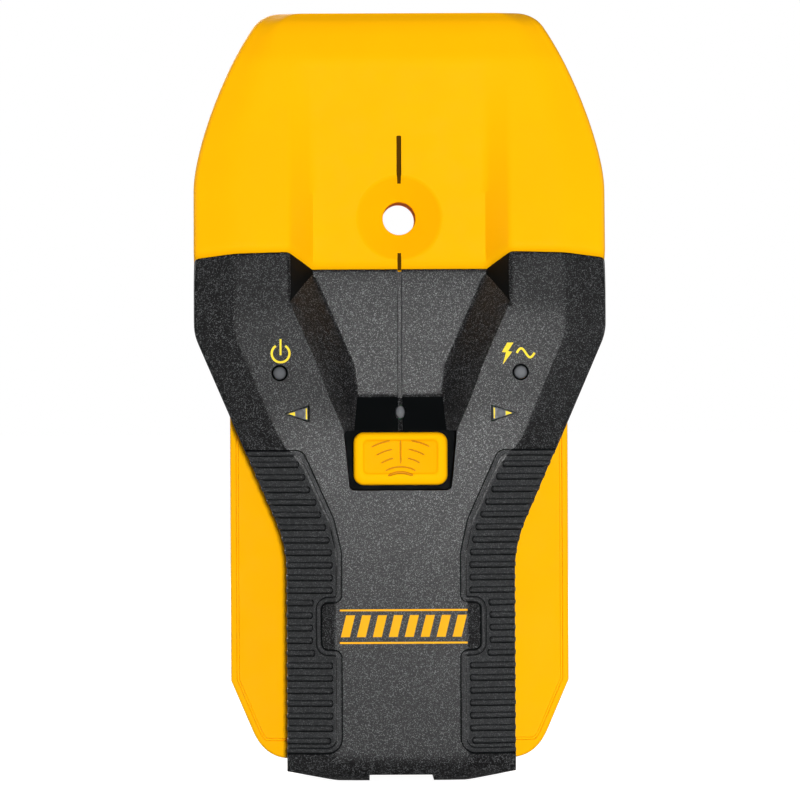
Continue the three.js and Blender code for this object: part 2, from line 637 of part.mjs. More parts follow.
add("battery", makeBattery(), { color: 0x2d2f33, roughness: 0.35, metalness: 0.4 });
add("battery_plus_terminal", upright(-TERMINAL_X, BATTERY.top + 0.1, BATTERY.top + 2.3, 2.8, 16), STEEL);
add("battery_minus_terminal", upright(TERMINAL_X, BATTERY.top + 0.1, BATTERY.top + 2.3, 4.2, 6), STEEL);
add("snap_connector", makeSnapConnector(), BLACK);
add("red_lead", makeLead(-1), { color: 0xb3201c, roughness: 0.5 });
add("black_lead", makeLead(1), BLACK);
add("battery_door", makeBatteryDoor(), YELLOW);
add("door_pad", slab(roundedRectangle(-9, 9, 12, 46, 1.5), DOOR.thick + 0.1, BATTERY.rear - 0.15), RUBBER);
HOUSING_SCREWS.forEach((at, i) => add(`housing_screw_${i + 1}`, makeHousingScrew(at), STEEL));

// The tool stands on its bottom end, centred, with its rear face towards +Y.
tool.rotation.x = Math.PI / 2;
tool.position.y = THICKNESS / 2;
const stood = new THREE.Group();
stood.add(tool);

export default stood;
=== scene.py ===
"""Looks of a hand-held stud finder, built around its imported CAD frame.

Shapes are drawn in millimetres as x across, h up from the bottom end and z out of the rear face;
place() turns them into the frame's metres, in which the tool stands on its bottom end and faces -Y.
"""
import cmath
import math
from collections import namedtuple

import bmesh
import bpy
import numpy as np
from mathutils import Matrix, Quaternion, Vector


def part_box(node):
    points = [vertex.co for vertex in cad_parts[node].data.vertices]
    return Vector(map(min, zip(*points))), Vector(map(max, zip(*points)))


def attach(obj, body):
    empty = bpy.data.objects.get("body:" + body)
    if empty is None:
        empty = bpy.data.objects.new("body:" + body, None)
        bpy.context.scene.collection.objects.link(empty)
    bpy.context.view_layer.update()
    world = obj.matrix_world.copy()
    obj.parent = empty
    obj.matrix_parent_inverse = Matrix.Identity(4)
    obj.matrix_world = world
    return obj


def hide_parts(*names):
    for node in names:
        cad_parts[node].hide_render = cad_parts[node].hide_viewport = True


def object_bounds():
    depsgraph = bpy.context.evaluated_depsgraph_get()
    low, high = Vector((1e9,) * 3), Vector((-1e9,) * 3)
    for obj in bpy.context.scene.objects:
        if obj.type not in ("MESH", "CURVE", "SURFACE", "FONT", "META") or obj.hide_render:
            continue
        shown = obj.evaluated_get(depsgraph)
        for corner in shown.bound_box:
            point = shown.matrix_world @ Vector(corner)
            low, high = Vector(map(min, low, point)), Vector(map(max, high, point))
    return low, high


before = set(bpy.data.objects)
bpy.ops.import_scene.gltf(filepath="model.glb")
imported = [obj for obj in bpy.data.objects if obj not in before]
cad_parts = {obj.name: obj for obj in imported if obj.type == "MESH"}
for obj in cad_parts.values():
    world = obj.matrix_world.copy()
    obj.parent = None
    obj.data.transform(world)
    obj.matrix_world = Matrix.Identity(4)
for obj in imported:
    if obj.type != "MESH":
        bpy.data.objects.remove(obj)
cad_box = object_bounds()

MM = 0.001
HALF_DEPTH = -cad_box[0].y / MM
Span = namedtuple("Span", "left right bottom top rear front")


def span(node):
    """The sides of a CAD node, in millimetres."""
    low, high = [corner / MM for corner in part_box(node)]
    return Span(low.x, high.x, low.z, high.z, HALF_DEPTH - high.y, HALF_DEPTH - low.y)


def middle(node):
    """The x and h of a CAD node's middle."""
    at = span(node)
    return (at.left + at.right) / 2, (at.bottom + at.top) / 2


def joined(*parts):
    """Points from their coordinates, any of which may be one number for all."""
    return np.stack(np.broadcast_arrays(*parts), -1)


def place(points):
    """Points in millimetres, as x, h and z, to metres in the frame."""
    p = np.asarray(points, float)
    return joined(p[..., 0], HALF_DEPTH - p[..., 2], p[..., 1]) * MM


# ---- Driving dimensions, in millimetres ----
LENGTH = span("head_cover").top
HEAD_HALF = span("head_cover").right
HANDLE_HALF = 25.6
WALL = 2.0
GAP = 0.15

# outline of the head and handle, seen from the front
HEAD_CORNER = {"x": 26.8, "h": 165.0, "radius": 7.0, "start": math.radians(33)}
HEAD_SIDE_TOP = 132.0
SHOULDER = {"h": 100.0, "reach": 2.2}
WAIST = {"h": 52.6, "reach": 5.7}
SIDE_SLOPE = 0.428
END_CORNER = 2.1
END_FLAT_HALF = 14.5

# outline of the rear housing's wings
WING_HALF = 38.4
WING_TOP = 83.6
WING_CHAMFER_TOP = 21.4
WING_FOOT = (33.6, 10.2)
WING_CORNER_X = 30.9
WING_FLAT_HALF = 25.0
WING_BOTTOM = span("rear_cover").bottom
WING_THICK = 4.5
SKIRT_TOP = 3.4
WING_GROOVE = {"inset": 1.6, "half": 0.16, "deep": 0.35, "lowest": 8.0}

# heights above the rear face
HEAD_PARTING = 10.0
PARTING_STEP = 88.0
CHANNEL_FLOOR = 28.6
RIDGE_ROWS = [
    (0, 31.4), (6, 31.8), (50, 33.8), (66, 34.4), (105, 34.6), (118.5, 34), (161.5, 28.6), (168.2, 26.4),
    (170.8, 24.9), (LENGTH, 23),
]
# the side leans back from a crease to a small edge, and the bottom end is rounded over
EDGE_WIDE_ROWS = [
    (0, 3), (END_CORNER, 10.6), (50, 10.8), (58, 11.4), (70, 11), (74, 9.6), (77, 8.7), (100, 9), (140, 9),
    (LENGTH, 5),
]
FACET_DROP_ROWS = [
    (0, 0.6), (END_CORNER, 2.3), (58, 2.5), (70, 2.3), (76, 1.75), (118.5, 1.75), (140, 2.2), (LENGTH, 1.6),
]
CREASE_ROWS = [(110, 0.4), (120, 2.6)]
CREST_LEAN_ROWS = [(76, 0), (86, 0.38), (113, 0.38), (122, 0.1), (140, 0)]
EDGE_ROUND_ROWS = [(110, 0.5), (120, 1.6)]
END_ROUND = {"width": 5.0, "depth": 2.6}

# channel down the middle: straight in the head, then narrowing to the button
CHANNEL_HALF = 19.3
CHANNEL_TOP_HALF = 24.6
NARROW_END = 77.9
SLOPE_TOP = 85.8
NARROW_FLOOR_ROWS = [(NARROW_END, 10.4), (SLOPE_TOP, 9.6), (93, 10.5), (125, 24.4)]
NARROW_RIDGE_ROWS = [(NARROW_END, 12.5), (SLOPE_TOP, 15.9), (93, 18.5), (125, 32.4)]
NARROW_HEIGHT_ROWS = [(NARROW_END, 32.7), (SLOPE_TOP, CHANNEL_FLOOR), (125, CHANNEL_FLOOR)]
DIAGONAL = (107.0, 113.3)
SEAM = {"h": 114.8, "rake": 0.685}
SEAM_FADE = 27.0

HOLE = {"h": 125.8, "radius": 3.65, "funnel": 9.4, "deep": 4.1, "tube": span("rear_cover").front}
GROOVE_HALF = 0.45
GROOVE_DEEP = 1.2
POCKET = {"half": 11.2, "low": 65.1, "high": 78.3, "flare": 0.0085, "floor": 27.5, "wall": 1.4, "stem": 2.5}
GROOVE_TOP = 144.3

# corners of the grips' inner edge, from the bottom end up: x, h and radius
GRIP_CORNERS = [
    (13.4, 6.2, 3.4), (13.4, 29.1, 1.6), (18, 29.3, 1.6), (18, 39.9, 1.6), (13.4, 40.1, 1.6), (13.4, 51, 8),
    (15, 58.4, 8), (21.9, 73.8, 2.2),
]
GRIP_FOOT = 6.4
GRIP_GAP = 0.3
GRIP_GROUND = -0.32
GRIP_BED = -0.7
SIDE_RELIEF = 0.3
GRIP_INNER = 24.0
BEAD_WIDE = 1.1
RIB_PITCH = 2.81
RIB_TOP = 70.8
RIB_COUNT = 23
RIB_HALF = 0.5
RIB_SLOPE = 0.13
# How far the grips' painted shade lines reach below and above each rib.
SHADE_LINE_LOW, SHADE_LINE_HIGH = 0.2, 0.08


# ---- Curves ----
def bezier(controls, steps):
    t = np.linspace(0, 1, steps + 1)[:, None]
    level = [np.array(c, float) + 0 * t for c in controls]
    while len(level) > 1:
        level = [a * (1 - t) + b * t for a, b in zip(level, level[1:])]
    return level[0]


def arc(x, h, radius, start, end, steps):
    turn = np.linspace(start, end, steps + 1)
    return joined(x + radius * np.cos(turn), h + radius * np.sin(turn))


def smoothed(rows, reach=1.0):
    """A function of h along straight lines between the rows, with its bends softened over the reach."""
    at, value = np.array(rows, float).T
    offsets = np.linspace(-reach, reach, 7)
    return lambda h: np.mean([np.interp(h + offset, at, value) for offset in offsets], 0)


def eased_edge(distance, width, depth):
    """How far a surface drops towards an edge that is rounded over a width and a depth."""
    t = np.clip(1 - distance / width, 0, 1)
    return -depth * (1 - np.sqrt(1 - t**2 * 0.999))


def head_outline():
    """From the top of the head's straight side round to the top edge."""
    x, h, radius, start = HEAD_CORNER.values()
    end = (x + radius * math.cos(start), h + radius * math.sin(start))
    pull = 14.0
    controls = [
        (HEAD_HALF, HEAD_SIDE_TOP),
        (HEAD_HALF, HEAD_SIDE_TOP + 8),
        (end[0] + pull * math.sin(start), end[1] - pull * math.cos(start)),
        end,
    ]
    return np.concatenate([bezier(controls, 40), arc(x, h, radius, start, math.pi / 2, 24)])


def half_outline():
    """From the bottom end up the handle, over the waist and the shoulder to the head's top edge."""
    (waist, bend), (shoulder, reach) = WAIST.values(), SHOULDER.values()
    over, under = HANDLE_HALF + bend * SIDE_SLOPE, HEAD_HALF - reach * SIDE_SLOPE
    waist_bend = [(HANDLE_HALF, waist - bend), (HANDLE_HALF, waist), (over, waist + bend)]
    shoulder_bend = [(under, shoulder - reach), (HEAD_HALF, shoulder), (HEAD_HALF, shoulder + reach)]
    end = np.array([(END_FLAT_HALF, 0), (HANDLE_HALF, END_CORNER)])
    return np.concatenate([end, bezier(waist_bend, 12), bezier(shoulder_bend, 8), head_outline()])


OUTLINE = half_outline()
RIDGE_LINE = smoothed(RIDGE_ROWS)
EDGE_WIDE = smoothed(EDGE_WIDE_ROWS)
FACET_DROP = smoothed(FACET_DROP_ROWS)
CREASE = smoothed(CREASE_ROWS)
CREST_LEAN = smoothed(CREST_LEAN_ROWS)
EDGE_ROUND = smoothed(EDGE_ROUND_ROWS)
NARROW_FLOOR = smoothed(NARROW_FLOOR_ROWS, 0.3)
NARROW_RIDGE = smoothed(NARROW_RIDGE_ROWS, 0.3)
NARROW_HEIGHT = smoothed(NARROW_HEIGHT_ROWS, 0.25)


def ridge_height(h):
    return RIDGE_LINE(h) + eased_edge(h, **END_ROUND)


def half_width(h):
    return np.interp(h, OUTLINE[:, 1], OUTLINE[:, 0])


def crest_height(x, h):
    """The crest leans down a little from the channel's edge to the side's crease."""
    inner, outer = NARROW_RIDGE(h), half_width(h) - EDGE_WIDE(h)
    share = np.clip((abs(x) - inner) / (outer - inner), 0, 1)
    return ridge_height(h) + CREST_LEAN(h) * (1 - 2 * share)


# ---- Cross-sections of the tool's front ----
def channel(h, grow):
    """Half widths of the channel's foot, crease and top, its floor's height and the crease's share up."""
    ridge = ridge_height(h)
    floor = np.where(h > NARROW_END, np.minimum(NARROW_HEIGHT(h), ridge), ridge)
    narrow, narrow_top = NARROW_FLOOR(h), NARROW_RIDGE(h)
    bend = np.clip((DIAGONAL[1] - h) / (DIAGONAL[1] - DIAGONAL[0]), 0, 1)
    widest = half_width(h) - EDGE_WIDE(h)
    lines = []
    for rise, share in ((0, 0.87), (bend, 0.9), (1, 0.93)):
        straight = CHANNEL_HALF + rise * (CHANNEL_TOP_HALF - CHANNEL_HALF)
        narrowed = narrow + rise * (narrow_top - narrow)
        lines.append(np.minimum(np.minimum(straight, narrowed) - grow, share * widest))
    return *lines, floor + grow, bend


def soften(before, at, after, reach):
    """Where a soft bend at a corner starts and ends."""
    ends = []
    lengths = [np.linalg.norm(other - at, axis=-1, keepdims=True) for other in (before, after)]
    near = np.minimum(reach, 0.45 * np.minimum(*lengths))
    for other, length in zip((before, after), lengths):
        ends.append(at + (other - at) / np.maximum(length, 1e-6) * near)
    return ends


def between(start, end, steps, last=False):
    t = np.linspace(0, 1, steps + 1)[: None if last else -1]
    return start[:, None, :] * (1 - t[:, None]) + end[:, None, :] * t[:, None]


def bent(start, control, end, steps):
    t = np.linspace(0, 1, steps + 1)[:-1, None]
    return start[:, None] * (1 - t) ** 2 + 2 * control[:, None] * t * (1 - t) + end[:, None] * t**2


FLAT_STEPS, WALL_STEPS, CREST_STEPS, BEND_STEPS, FACET_STEPS, ROUND_STEPS, SIDE_STEPS = 14, 4, 8, 4, 6, 6, 5
LAST_WALL = FLAT_STEPS + 2 * BEND_STEPS + 2 * WALL_STEPS
RIM_ROWS = 3


def side_points(h, crest, grow):
    """The side at each h, as x and z: from the crest's outer end, over the crease, to the upright wall."""
    ridge, half = ridge_height(h) + grow, half_width(h) + grow
    drop, edge = FACET_DROP(h), EDGE_ROUND(h)
    crease = joined(half - EDGE_WIDE(h), ridge - CREST_LEAN(h))
    foot = joined(half - edge, ridge - drop)
    enter, leave = soften(crest, crease, foot, CREASE(h)[:, None])
    corner = joined(half, ridge - drop - 0.15 * edge)
    end = joined(half, ridge - drop - 1.15 * edge)
    bends = [bent(enter, crease, leave, BEND_STEPS), between(leave, foot, FACET_STEPS)]
    return np.concatenate([*bends, bent(foot, corner, end, ROUND_STEPS), end[:, None]], 1)


def profile(h, bottom, grow=0.0):
    """The right half of the cross-section at each h, as x and z, from the middle to the foot of the side."""
    foot, crease, top, floor, bend = channel(h, grow)
    ridge = ridge_height(h) + CREST_LEAN(h) + grow
    corners = [
        joined(0 * h, floor),
        joined(foot, floor),
        joined(crease, floor + bend * (ridge - floor)),
        joined(top, ridge),
    ]
    side = side_points(h, corners[3], grow)
    corners.append(side[:, 0])
    parts = []
    start = corners[0]
    for i, (reach, steps) in enumerate([(0.6, FLAT_STEPS), (0.25, WALL_STEPS), (0.9, WALL_STEPS)], 1):
        enter, leave = soften(corners[i - 1], corners[i], corners[i + 1], reach)
        parts.append(between(start, enter, steps))
        parts.append(bent(enter, corners[i], leave, BEND_STEPS))
        start = leave
    parts.append(between(start, corners[4], CREST_STEPS))
    parts.append(side[:, :-1])
    parts.append(between(side[:, -1], joined(half_width(h) + grow, bottom), SIDE_STEPS, last=True))
    return np.concatenate(parts, 1)


def raked_row(v, shear, bottom_of, grow):
    """One row across the tool: h leans back with z by the seam's rake, times the shear."""
    columns = profile(np.array([v]), np.array([bottom_of(v)]), grow)[0]
    at = np.arange(len(columns))
    for _ in range(4 if shear else 0):
        h = v + shear * SEAM["rake"] * (columns[:, 1] - CHANNEL_FLOOR)
        columns = profile(h, bottom_of(h), grow)[at, at]
    h = v + shear * SEAM["rake"] * (columns[:, 1] - CHANNEL_FLOOR)
    right = joined(columns[:, 0], h, columns[:, 1])
    return np.concatenate([right[::-1] * [-1, 1, 1], right[1:]])


def stations(marks, step):
    """The marks, with even steps between them."""
    pairs = [(a, b, max(1, math.ceil((b - a) / step))) for a, b in zip(marks, marks[1:])]
    filled = [np.linspace(a, b, count, endpoint=False) for a, b, count in pairs]
    return np.append(np.concatenate(filled), marks[-1])


# ---- Mesh building ----
def merged(*parts):
    """Several (points, faces) as one."""
    points, faces, start = [], [], 0
    for part_points, part_faces in parts:
        points.append(np.asarray(part_points, float).reshape(-1, 3))
        faces += [tuple(i + start for i in face) for face in part_faces]
        start += len(points[-1])
    return np.concatenate(points), faces


def build(name, shape, *materials, index=None, sharp=35):
    """An object from (points, faces) in millimetres, with its faces turned outwards."""
    points, faces = shape
    mesh = bpy.data.meshes.new(name)
    mesh.from_pydata(place(points).tolist(), [], faces)
    for material in materials:
        mesh.materials.append(material)
    if index is not None:
        mesh.polygons.foreach_set("material_index", index)
    turned = bmesh.new()
    turned.from_mesh(mesh)
    bmesh.ops.recalc_face_normals(turned, faces=turned.faces)
    turned.to_mesh(mesh)
    turned.free()
    piece = bpy.data.objects.new(name, mesh)
    bpy.context.scene.collection.objects.link(piece)
    smooth(piece, sharp)
    return piece


def smooth(piece, sharp=35):
    piece.data.shade_smooth()
    piece.data.set_sharp_from_angle(angle=math.radians(sharp))


def apply_modifiers(piece):
    result = bpy.data.meshes.new_from_object(piece.evaluated_get(bpy.context.evaluated_depsgraph_get()))
    piece.modifiers.clear()
    old = piece.data
    piece.data = result
    result.name = piece.name
    bpy.data.meshes.remove(old)


def cut(piece, shape, operation="DIFFERENCE", sharp=35, slot=0):
    """Cuts a closed shape out of a piece, or joins it on. New faces take the piece's numbered material."""
    tool = build("cutter", shape, *piece.data.materials, index=np.full(len(shape[1]), slot))
    modifier = piece.modifiers.new("cut", "BOOLEAN")
    modifier.operation = operation
    modifier.solver = "EXACT"
    modifier.object = tool
    apply_modifiers(piece)
    bpy.data.objects.remove(tool)
    smooth(piece, sharp)


def stack(rings):
    """A solid through closed rings of points, capped at both ends."""
    rings = np.array(rings, float)
    levels, count = rings.shape[:2]
    faces = [tuple(range(count)), tuple(range((levels - 1) * count, levels * count))]
    for a in range(0, (levels - 1) * count, count):
        for i in range(count):
            j = (i + 1) % count
            faces.append((a + i, a + j, a + count + j, a + count + i))
    return rings.reshape(-1, 3), faces


def flat_ring(outline, z):
    return joined(*np.asarray(outline, float).T, z)


def rounded_rectangle(x0, x1, h0, h1, radius, steps=8):
    left, right, low, high = x0 + radius, x1 - radius, h0 + radius, h1 - radius
    centres = [(right, high), (left, high), (left, low), (right, low)]
    turns = np.arange(5) * math.pi / 2
    corners = zip(centres, turns, turns[1:])
    return np.concatenate([arc(*centre, radius, start, end, steps) for centre, start, end in corners])


def inset(outline, amount):
    """A closed outline drawn in by an amount; it runs anticlockwise."""
    ways = [outline - np.roll(outline, 1, 0), np.roll(outline, -1, 0) - outline]
    lengths = [np.maximum(np.linalg.norm(way, axis=1), 1e-9)[:, None] for way in ways]
    normals = [joined(-way[:, 1], way[:, 0]) / length for way, length in zip(ways, lengths)]
    inward = normals[0] + normals[1]
    inward /= np.maximum((inward * normals[0]).sum(1), 0.4)[:, None]
    return outline + inward * amount


def slab_levels(z0, z1, low, high, steps=4):
    """Pairs of inset and z for a slab whose lower and upper edges are rounded."""
    turn = np.linspace(0, math.pi / 2, steps + 1)
    lower = [(low * (1 - math.sin(a)), z0 + low * (1 - math.cos(a))) for a in turn]
    upper = [(high * (1 - math.cos(a)), z1 - high * (1 - math.sin(a))) for a in turn]
    return lower + upper


def slab(outline, z0, z1, low=0.0, high=0.0):
    levels = slab_levels(z0, z1, low, high) if low or high else [(0, z0), (0, z1)]
    return stack([flat_ring(inset(outline, amount), z) for amount, z in levels])


def block(x0, x1, h0, h1, z0, z1):
    return slab(np.array([(x0, h0), (x1, h0), (x1, h1), (x0, h1)], float), z0, z1)


def revolved(x, h, profile_points, count=48, across=1.0, along=1.0):
    """A solid of revolution whose axis runs along z, from (radius, z) pairs."""
    turn = np.linspace(0, 2 * math.pi, count, endpoint=False)
    rings = []
    for radius, z in profile_points:
        radius = max(radius, 0.001)
        rings.append(joined(x + across * radius * np.cos(turn), h + along * radius * np.sin(turn), z))
    return stack(rings)


def crossbar(x0, x1, h, z, radius, count=32):
    """A round bar lying across the tool."""
    turn = np.linspace(0, 2 * math.pi, count, endpoint=False)
    return stack([joined(x, h + radius * np.cos(turn), z + radius * np.sin(turn)) for x in (x0, x1)])


def shell(outer, inner, shut_row=None):
    """A closed wall between two grids of rows, whose outer grid's faces come first, row by row.

    All four sides are rims, or the shut row, first (0) or last (-1), is capped straight across."""
    number = np.arange(outer[..., 0].size).reshape(outer.shape[:2])
    layer = number.size
    corners = [number[:-1, :-1], number[:-1, 1:], number[1:, 1:], number[1:, :-1]]
    quads = np.stack(corners, -1).reshape(-1, 4)
    faces = quads.tolist() + (quads[:, ::-1] + layer).tolist()
    rims = [number[:, 0], number[:, -1]] + [number[row] for row in (0, -1) if row != shut_row]
    for rim in rims:
        faces += np.stack([rim[:-1], rim[1:], rim[1:] + layer, rim[:-1] + layer], -1).tolist()
    if shut_row is not None:
        edge = number[shut_row]
        start, end = edge[0], edge[-1]
        faces += [edge.tolist(), (edge + layer).tolist(), [start, end, end + layer, start + layer]]
    return np.concatenate([outer.reshape(-1, 3), inner.reshape(-1, 3)]), faces


# ---- Materials ----
def srgb(r, g, b):
    """A colour given as it is seen, from 0 to 255, as the linear colour that the shader takes."""
    parts = [c / 255 for c in (r, g, b)]
    return (*[c / 12.92 if c <= 0.04045 else ((c + 0.055) / 1.055) ** 2.4 for c in parts], 1.0)


class Surface:
    """A procedural material, made up step by step around one Principled shader."""

    def __init__(self, name, **values):
        self.material = bpy.data.materials.new(name)
        self.material.use_nodes = True
        self.nodes = self.material.node_tree.nodes
        self.links = self.material.node_tree.links
        self.shader = self.nodes["Principled BSDF"]
        self.where = self.nodes.new("ShaderNodeTexCoord").outputs["Object"]
        self.settle(self.shader, values)

    def settle(self, node, values):
        """Gives a node's inputs their numbers, or joins them to another node's output."""
        for socket, value in values.items():
            socket = node.inputs[socket.replace("_", " ")]
            if isinstance(value, bpy.types.NodeSocket):
                self.links.new(value, socket)
            else:
                socket.default_value = value

    def node(self, kind, **values):
        made = self.nodes.new("ShaderNode" + kind)
        self.settle(made, values)
        return made

    def stretched(self, x, y, z):
        """The place on the object, stretched along its axes."""
        return self.node("Mapping", Scale=(x, y, z), Vector=self.where).outputs["Vector"]

    def noise(self, scale, detail=3.0, roughness=0.5, where=None):
        where = where or self.where
        node = self.node("TexNoise", Scale=scale, Detail=detail, Roughness=roughness, Vector=where)
        return node.outputs["Fac"]

    def pores(self, scale):
        """How far each place is from the middle of its soft-edged cell."""
        node = self.node("TexVoronoi", Scale=scale, Vector=self.where)
        node.feature = "SMOOTH_F1"
        node.inputs["Smoothness"].default_value = 0.2
        return node.outputs["Distance"]

    def specks(self, scale):
        """A random value in each of many tiny cells."""
        cells = self.node("TexVoronoi", Scale=scale, Vector=self.where)
        return self.node("SeparateColor", Color=cells.outputs["Color"]).outputs["Red"]

    def remap(self, value, low, high, to_low, to_high):
        ends = {"From Min": low, "From Max": high, "To Min": to_low, "To Max": to_high}
        node = self.node("MapRange", Value=value, **ends)
        node.interpolation_type = "SMOOTHSTEP"
        return node.outputs["Result"]

    def blend(self, factor, a, b):
        node = self.nodes.new("ShaderNodeMix")
        node.data_type = "RGBA"
        self.links.new(factor, node.inputs[0])
        node.inputs[6].default_value = a
        node.inputs[7].default_value = b
        return node.outputs[2]

    def paint(self, colour):
        self.links.new(colour, self.shader.inputs["Base Color"])

    def gloss(self, value):
        self.links.new(value, self.shader.inputs["Roughness"])

    def relief(self, height, depth, strength=1.0, **below):
        """Raises the surface by height times depth in millimetres, as seen in its shading."""
        node = self.node("Bump", Distance=depth * MM, Strength=strength, Height=height, **below)
        self.links.new(node.outputs["Normal"], self.shader.inputs["Normal"])
        return node.outputs["Normal"]


def moulded(name, light, dark, roughness, grain, depth, specular=0.5, **values):
    """Moulded plastic: faint patches of tone, spark-eroded grain and a gloss that varies a little."""
    s = Surface(name, Specular_IOR_Level=specular, **values)
    patches = s.remap(s.noise(45, 4, 0.6), 0.3, 0.7, 0, 1)
    s.paint(s.blend(patches, srgb(*light), srgb(*dark)))
    s.gloss(s.remap(s.noise(270), 0.3, 0.7, roughness - 0.06, roughness + 0.06))
    wide = s.relief(s.noise(grain * 0.12, 2), depth * 0.8, 0.3)
    s.relief(s.noise(grain, 4, 0.6), depth, Normal=wide)
    return s.material


def pebbled(name, light, dark, roughness, depth):
    """Black plastic with a spark-eroded grain: a scatter of lighter, glossier specks over dark ground."""
    s = Surface(name, Specular_IOR_Level=0.5)
    specks = s.specks(GRAIN)
    s.paint(s.blend(s.remap(specks, 0.72, 1.0, 0, 1), srgb(*dark), srgb(*light)))
    s.gloss(s.remap(specks, 0, 1, roughness + 0.06, roughness - 0.06))
    s.relief(s.noise(GRAIN, 2, 0.55), depth)
    return s.material


def drawn_metal(name, colour, dark, roughness):
    """Metal with fine scratches that run along the tool, and a few dull spots."""
    s = Surface(name, Metallic=1.0)
    spots = s.remap(s.noise(250, 4, 0.6), 0.45, 0.75, 0, 1)
    s.paint(s.blend(spots, srgb(*colour), srgb(*dark)))
    lines = s.noise(900, 3, 0.5, s.stretched(1, 1, 0.06))
    s.gloss(s.remap(lines, 0.3, 0.7, roughness - 0.08, roughness + 0.12))
    s.relief(lines, 0.02, 0.5)
    return s.material


def circuit_board(name):
    """Green solder mask with copper tracks showing through as a lighter, faintly raised pattern."""
    s = Surface(name, Roughness=0.32, Specular_IOR_Level=0.5)
    turned = s.node("Mapping", Rotation=(math.pi / 2, 0, 0), Vector=s.where).outputs["Vector"]
    tracks = s.node(
        "TexBrick", Scale=260, Mortar_Size=0.05, Color1=(0.012, 0.11, 0.035, 1),
        Color2=(0.018, 0.16, 0.05, 1), Mortar=(0.03, 0.24, 0.08, 1), Vector=turned,
    )
    s.paint(tracks.outputs["Color"])
    s.relief(tracks.outputs["Fac"], 0.04, Normal=s.relief(s.noise(1500), 0.01, 0.6))
    return s.material


def battery_wrap(name):
    """The battery's printed can: dark, with a copper-coloured end and brushed gloss."""
    s = Surface(name, Metallic=0.75)
    split = s.node("SeparateXYZ", Vector=s.where)
    band_foot = (span("battery").top - 13.2) * MM
    band = s.remap(split.outputs["Z"], band_foot, band_foot + 0.2 * MM, 0, 1)
    lines = s.noise(1200, 3, 0.5, s.stretched(1, 1, 0.05))
    s.paint(s.blend(band, srgb(38, 39, 44), srgb(186, 116, 62)))
    s.gloss(s.remap(lines, 0.3, 0.7, 0.22, 0.4))
    s.relief(lines, 0.015, 0.4)
    return s.material


def foam(name):
    s = Surface(name, Roughness=0.95)
    pores = s.pores(900)
    s.paint(s.blend(s.remap(pores, 0.1, 0.6, 0, 1), srgb(46, 46, 48), srgb(24, 24, 26)))
    s.relief(s.remap(pores, 0, 0.7, 1, 0), 0.4)
    return s.material


GRAIN = 6800
BLACK = pebbled("black_plastic", (98, 99, 100), (1, 1, 2), 0.35, 0.003)
RUBBER = pebbled("grip_rubber", (84, 85, 86), (37, 38, 39), 0.4, 0.002)
YELLOW = moulded("yellow_plastic", (255, 183, 2), (254, 180, 2), 0.5, 2600, 0.02, 0.1)
BUTTON_YELLOW = moulded("button_yellow", (255, 185, 2), (254, 182, 2), 0.5, 3000, 0.006, 0.06)
# Painted shade: the button's dish is coloured a darker, more orange yellow for the shade in its hollow.
DISH_PAINTED_SHADE = moulded("button_dish_painted_shade", (254, 174, 2), (253, 170, 2), 0.5, 3000, 0.006, 0.06)
# Painted shade: the engraved grooves on the button take a darker amber for the shade inside them.
ENGRAVING_SHADE = moulded("engraving_painted_shade", (214, 146, 4), (204, 138, 4), 0.6, 3000, 0.01)
# Painted shade: the sighting groove's faces in the head are coloured dark brown for the shade inside it.
GROOVE_SHADE = moulded("groove_painted_shade", (96, 62, 6), (80, 50, 4), 0.7, 3000, 0.01, 0.1)
# Also used as the dark sheet of the grips' painted shade lines.
SMOOTH_BLACK = moulded("smooth_black", (10, 12, 13), (7, 9, 10), 0.45, 2200, 0.01, 0.08)
SMOKE = moulded("smoked_lens", (112, 114, 117), (88, 90, 93), 0.38, 1200, 0.004, 0.6)
PRINT = moulded("printed_yellow", (248, 220, 66), (242, 212, 58), 0.5, 2500, 0.006, 0.2)
BAND_PRINT = moulded("printed_orange", (247, 178, 28), (242, 172, 24), 0.5, 2500, 0.006, 0.2)
CLEAR = moulded("led_clear", (214, 222, 228), (196, 204, 212), 0.1, 900, 0.004, Coat_Weight=0.5)
RED_WIRE = moulded("red_wire", (176, 30, 26), (150, 24, 22), 0.45, 1500, 0.01)
BLACK_WIRE = moulded("black_wire", (30, 30, 32), (22, 22, 24), 0.45, 1500, 0.01)
COPPER = drawn_metal("copper", (205, 130, 80), (160, 96, 58), 0.32)
STEEL = drawn_metal("steel", (186, 188, 192), (140, 142, 146), 0.3)
BOARD = circuit_board("circuit_board")
BATTERY = battery_wrap("battery_case")
FOAM = foam("foam")


def settle_normals(piece):
    """Flat faces shade flat, and only the rounded edges between them turn."""
    modifier = piece.modifiers.new("normals", "WEIGHTED_NORMAL")
    modifier.keep_sharp = True
    modifier.weight = 100
    apply_modifiers(piece)


def finished(piece, body, slot, *nodes):
    """Ties a piece to its body and hides the CAD nodes that it stands for; the slot is not used."""
    settle_normals(piece)
    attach(piece, body)
    if nodes:
        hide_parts(*nodes)
    return piece


# ---- Head and front covers ----
def head_foot(h):
    """Height above the rear face at which the head cover's side ends."""
    return HEAD_PARTING + GAP + 0 * np.asarray(h, float)


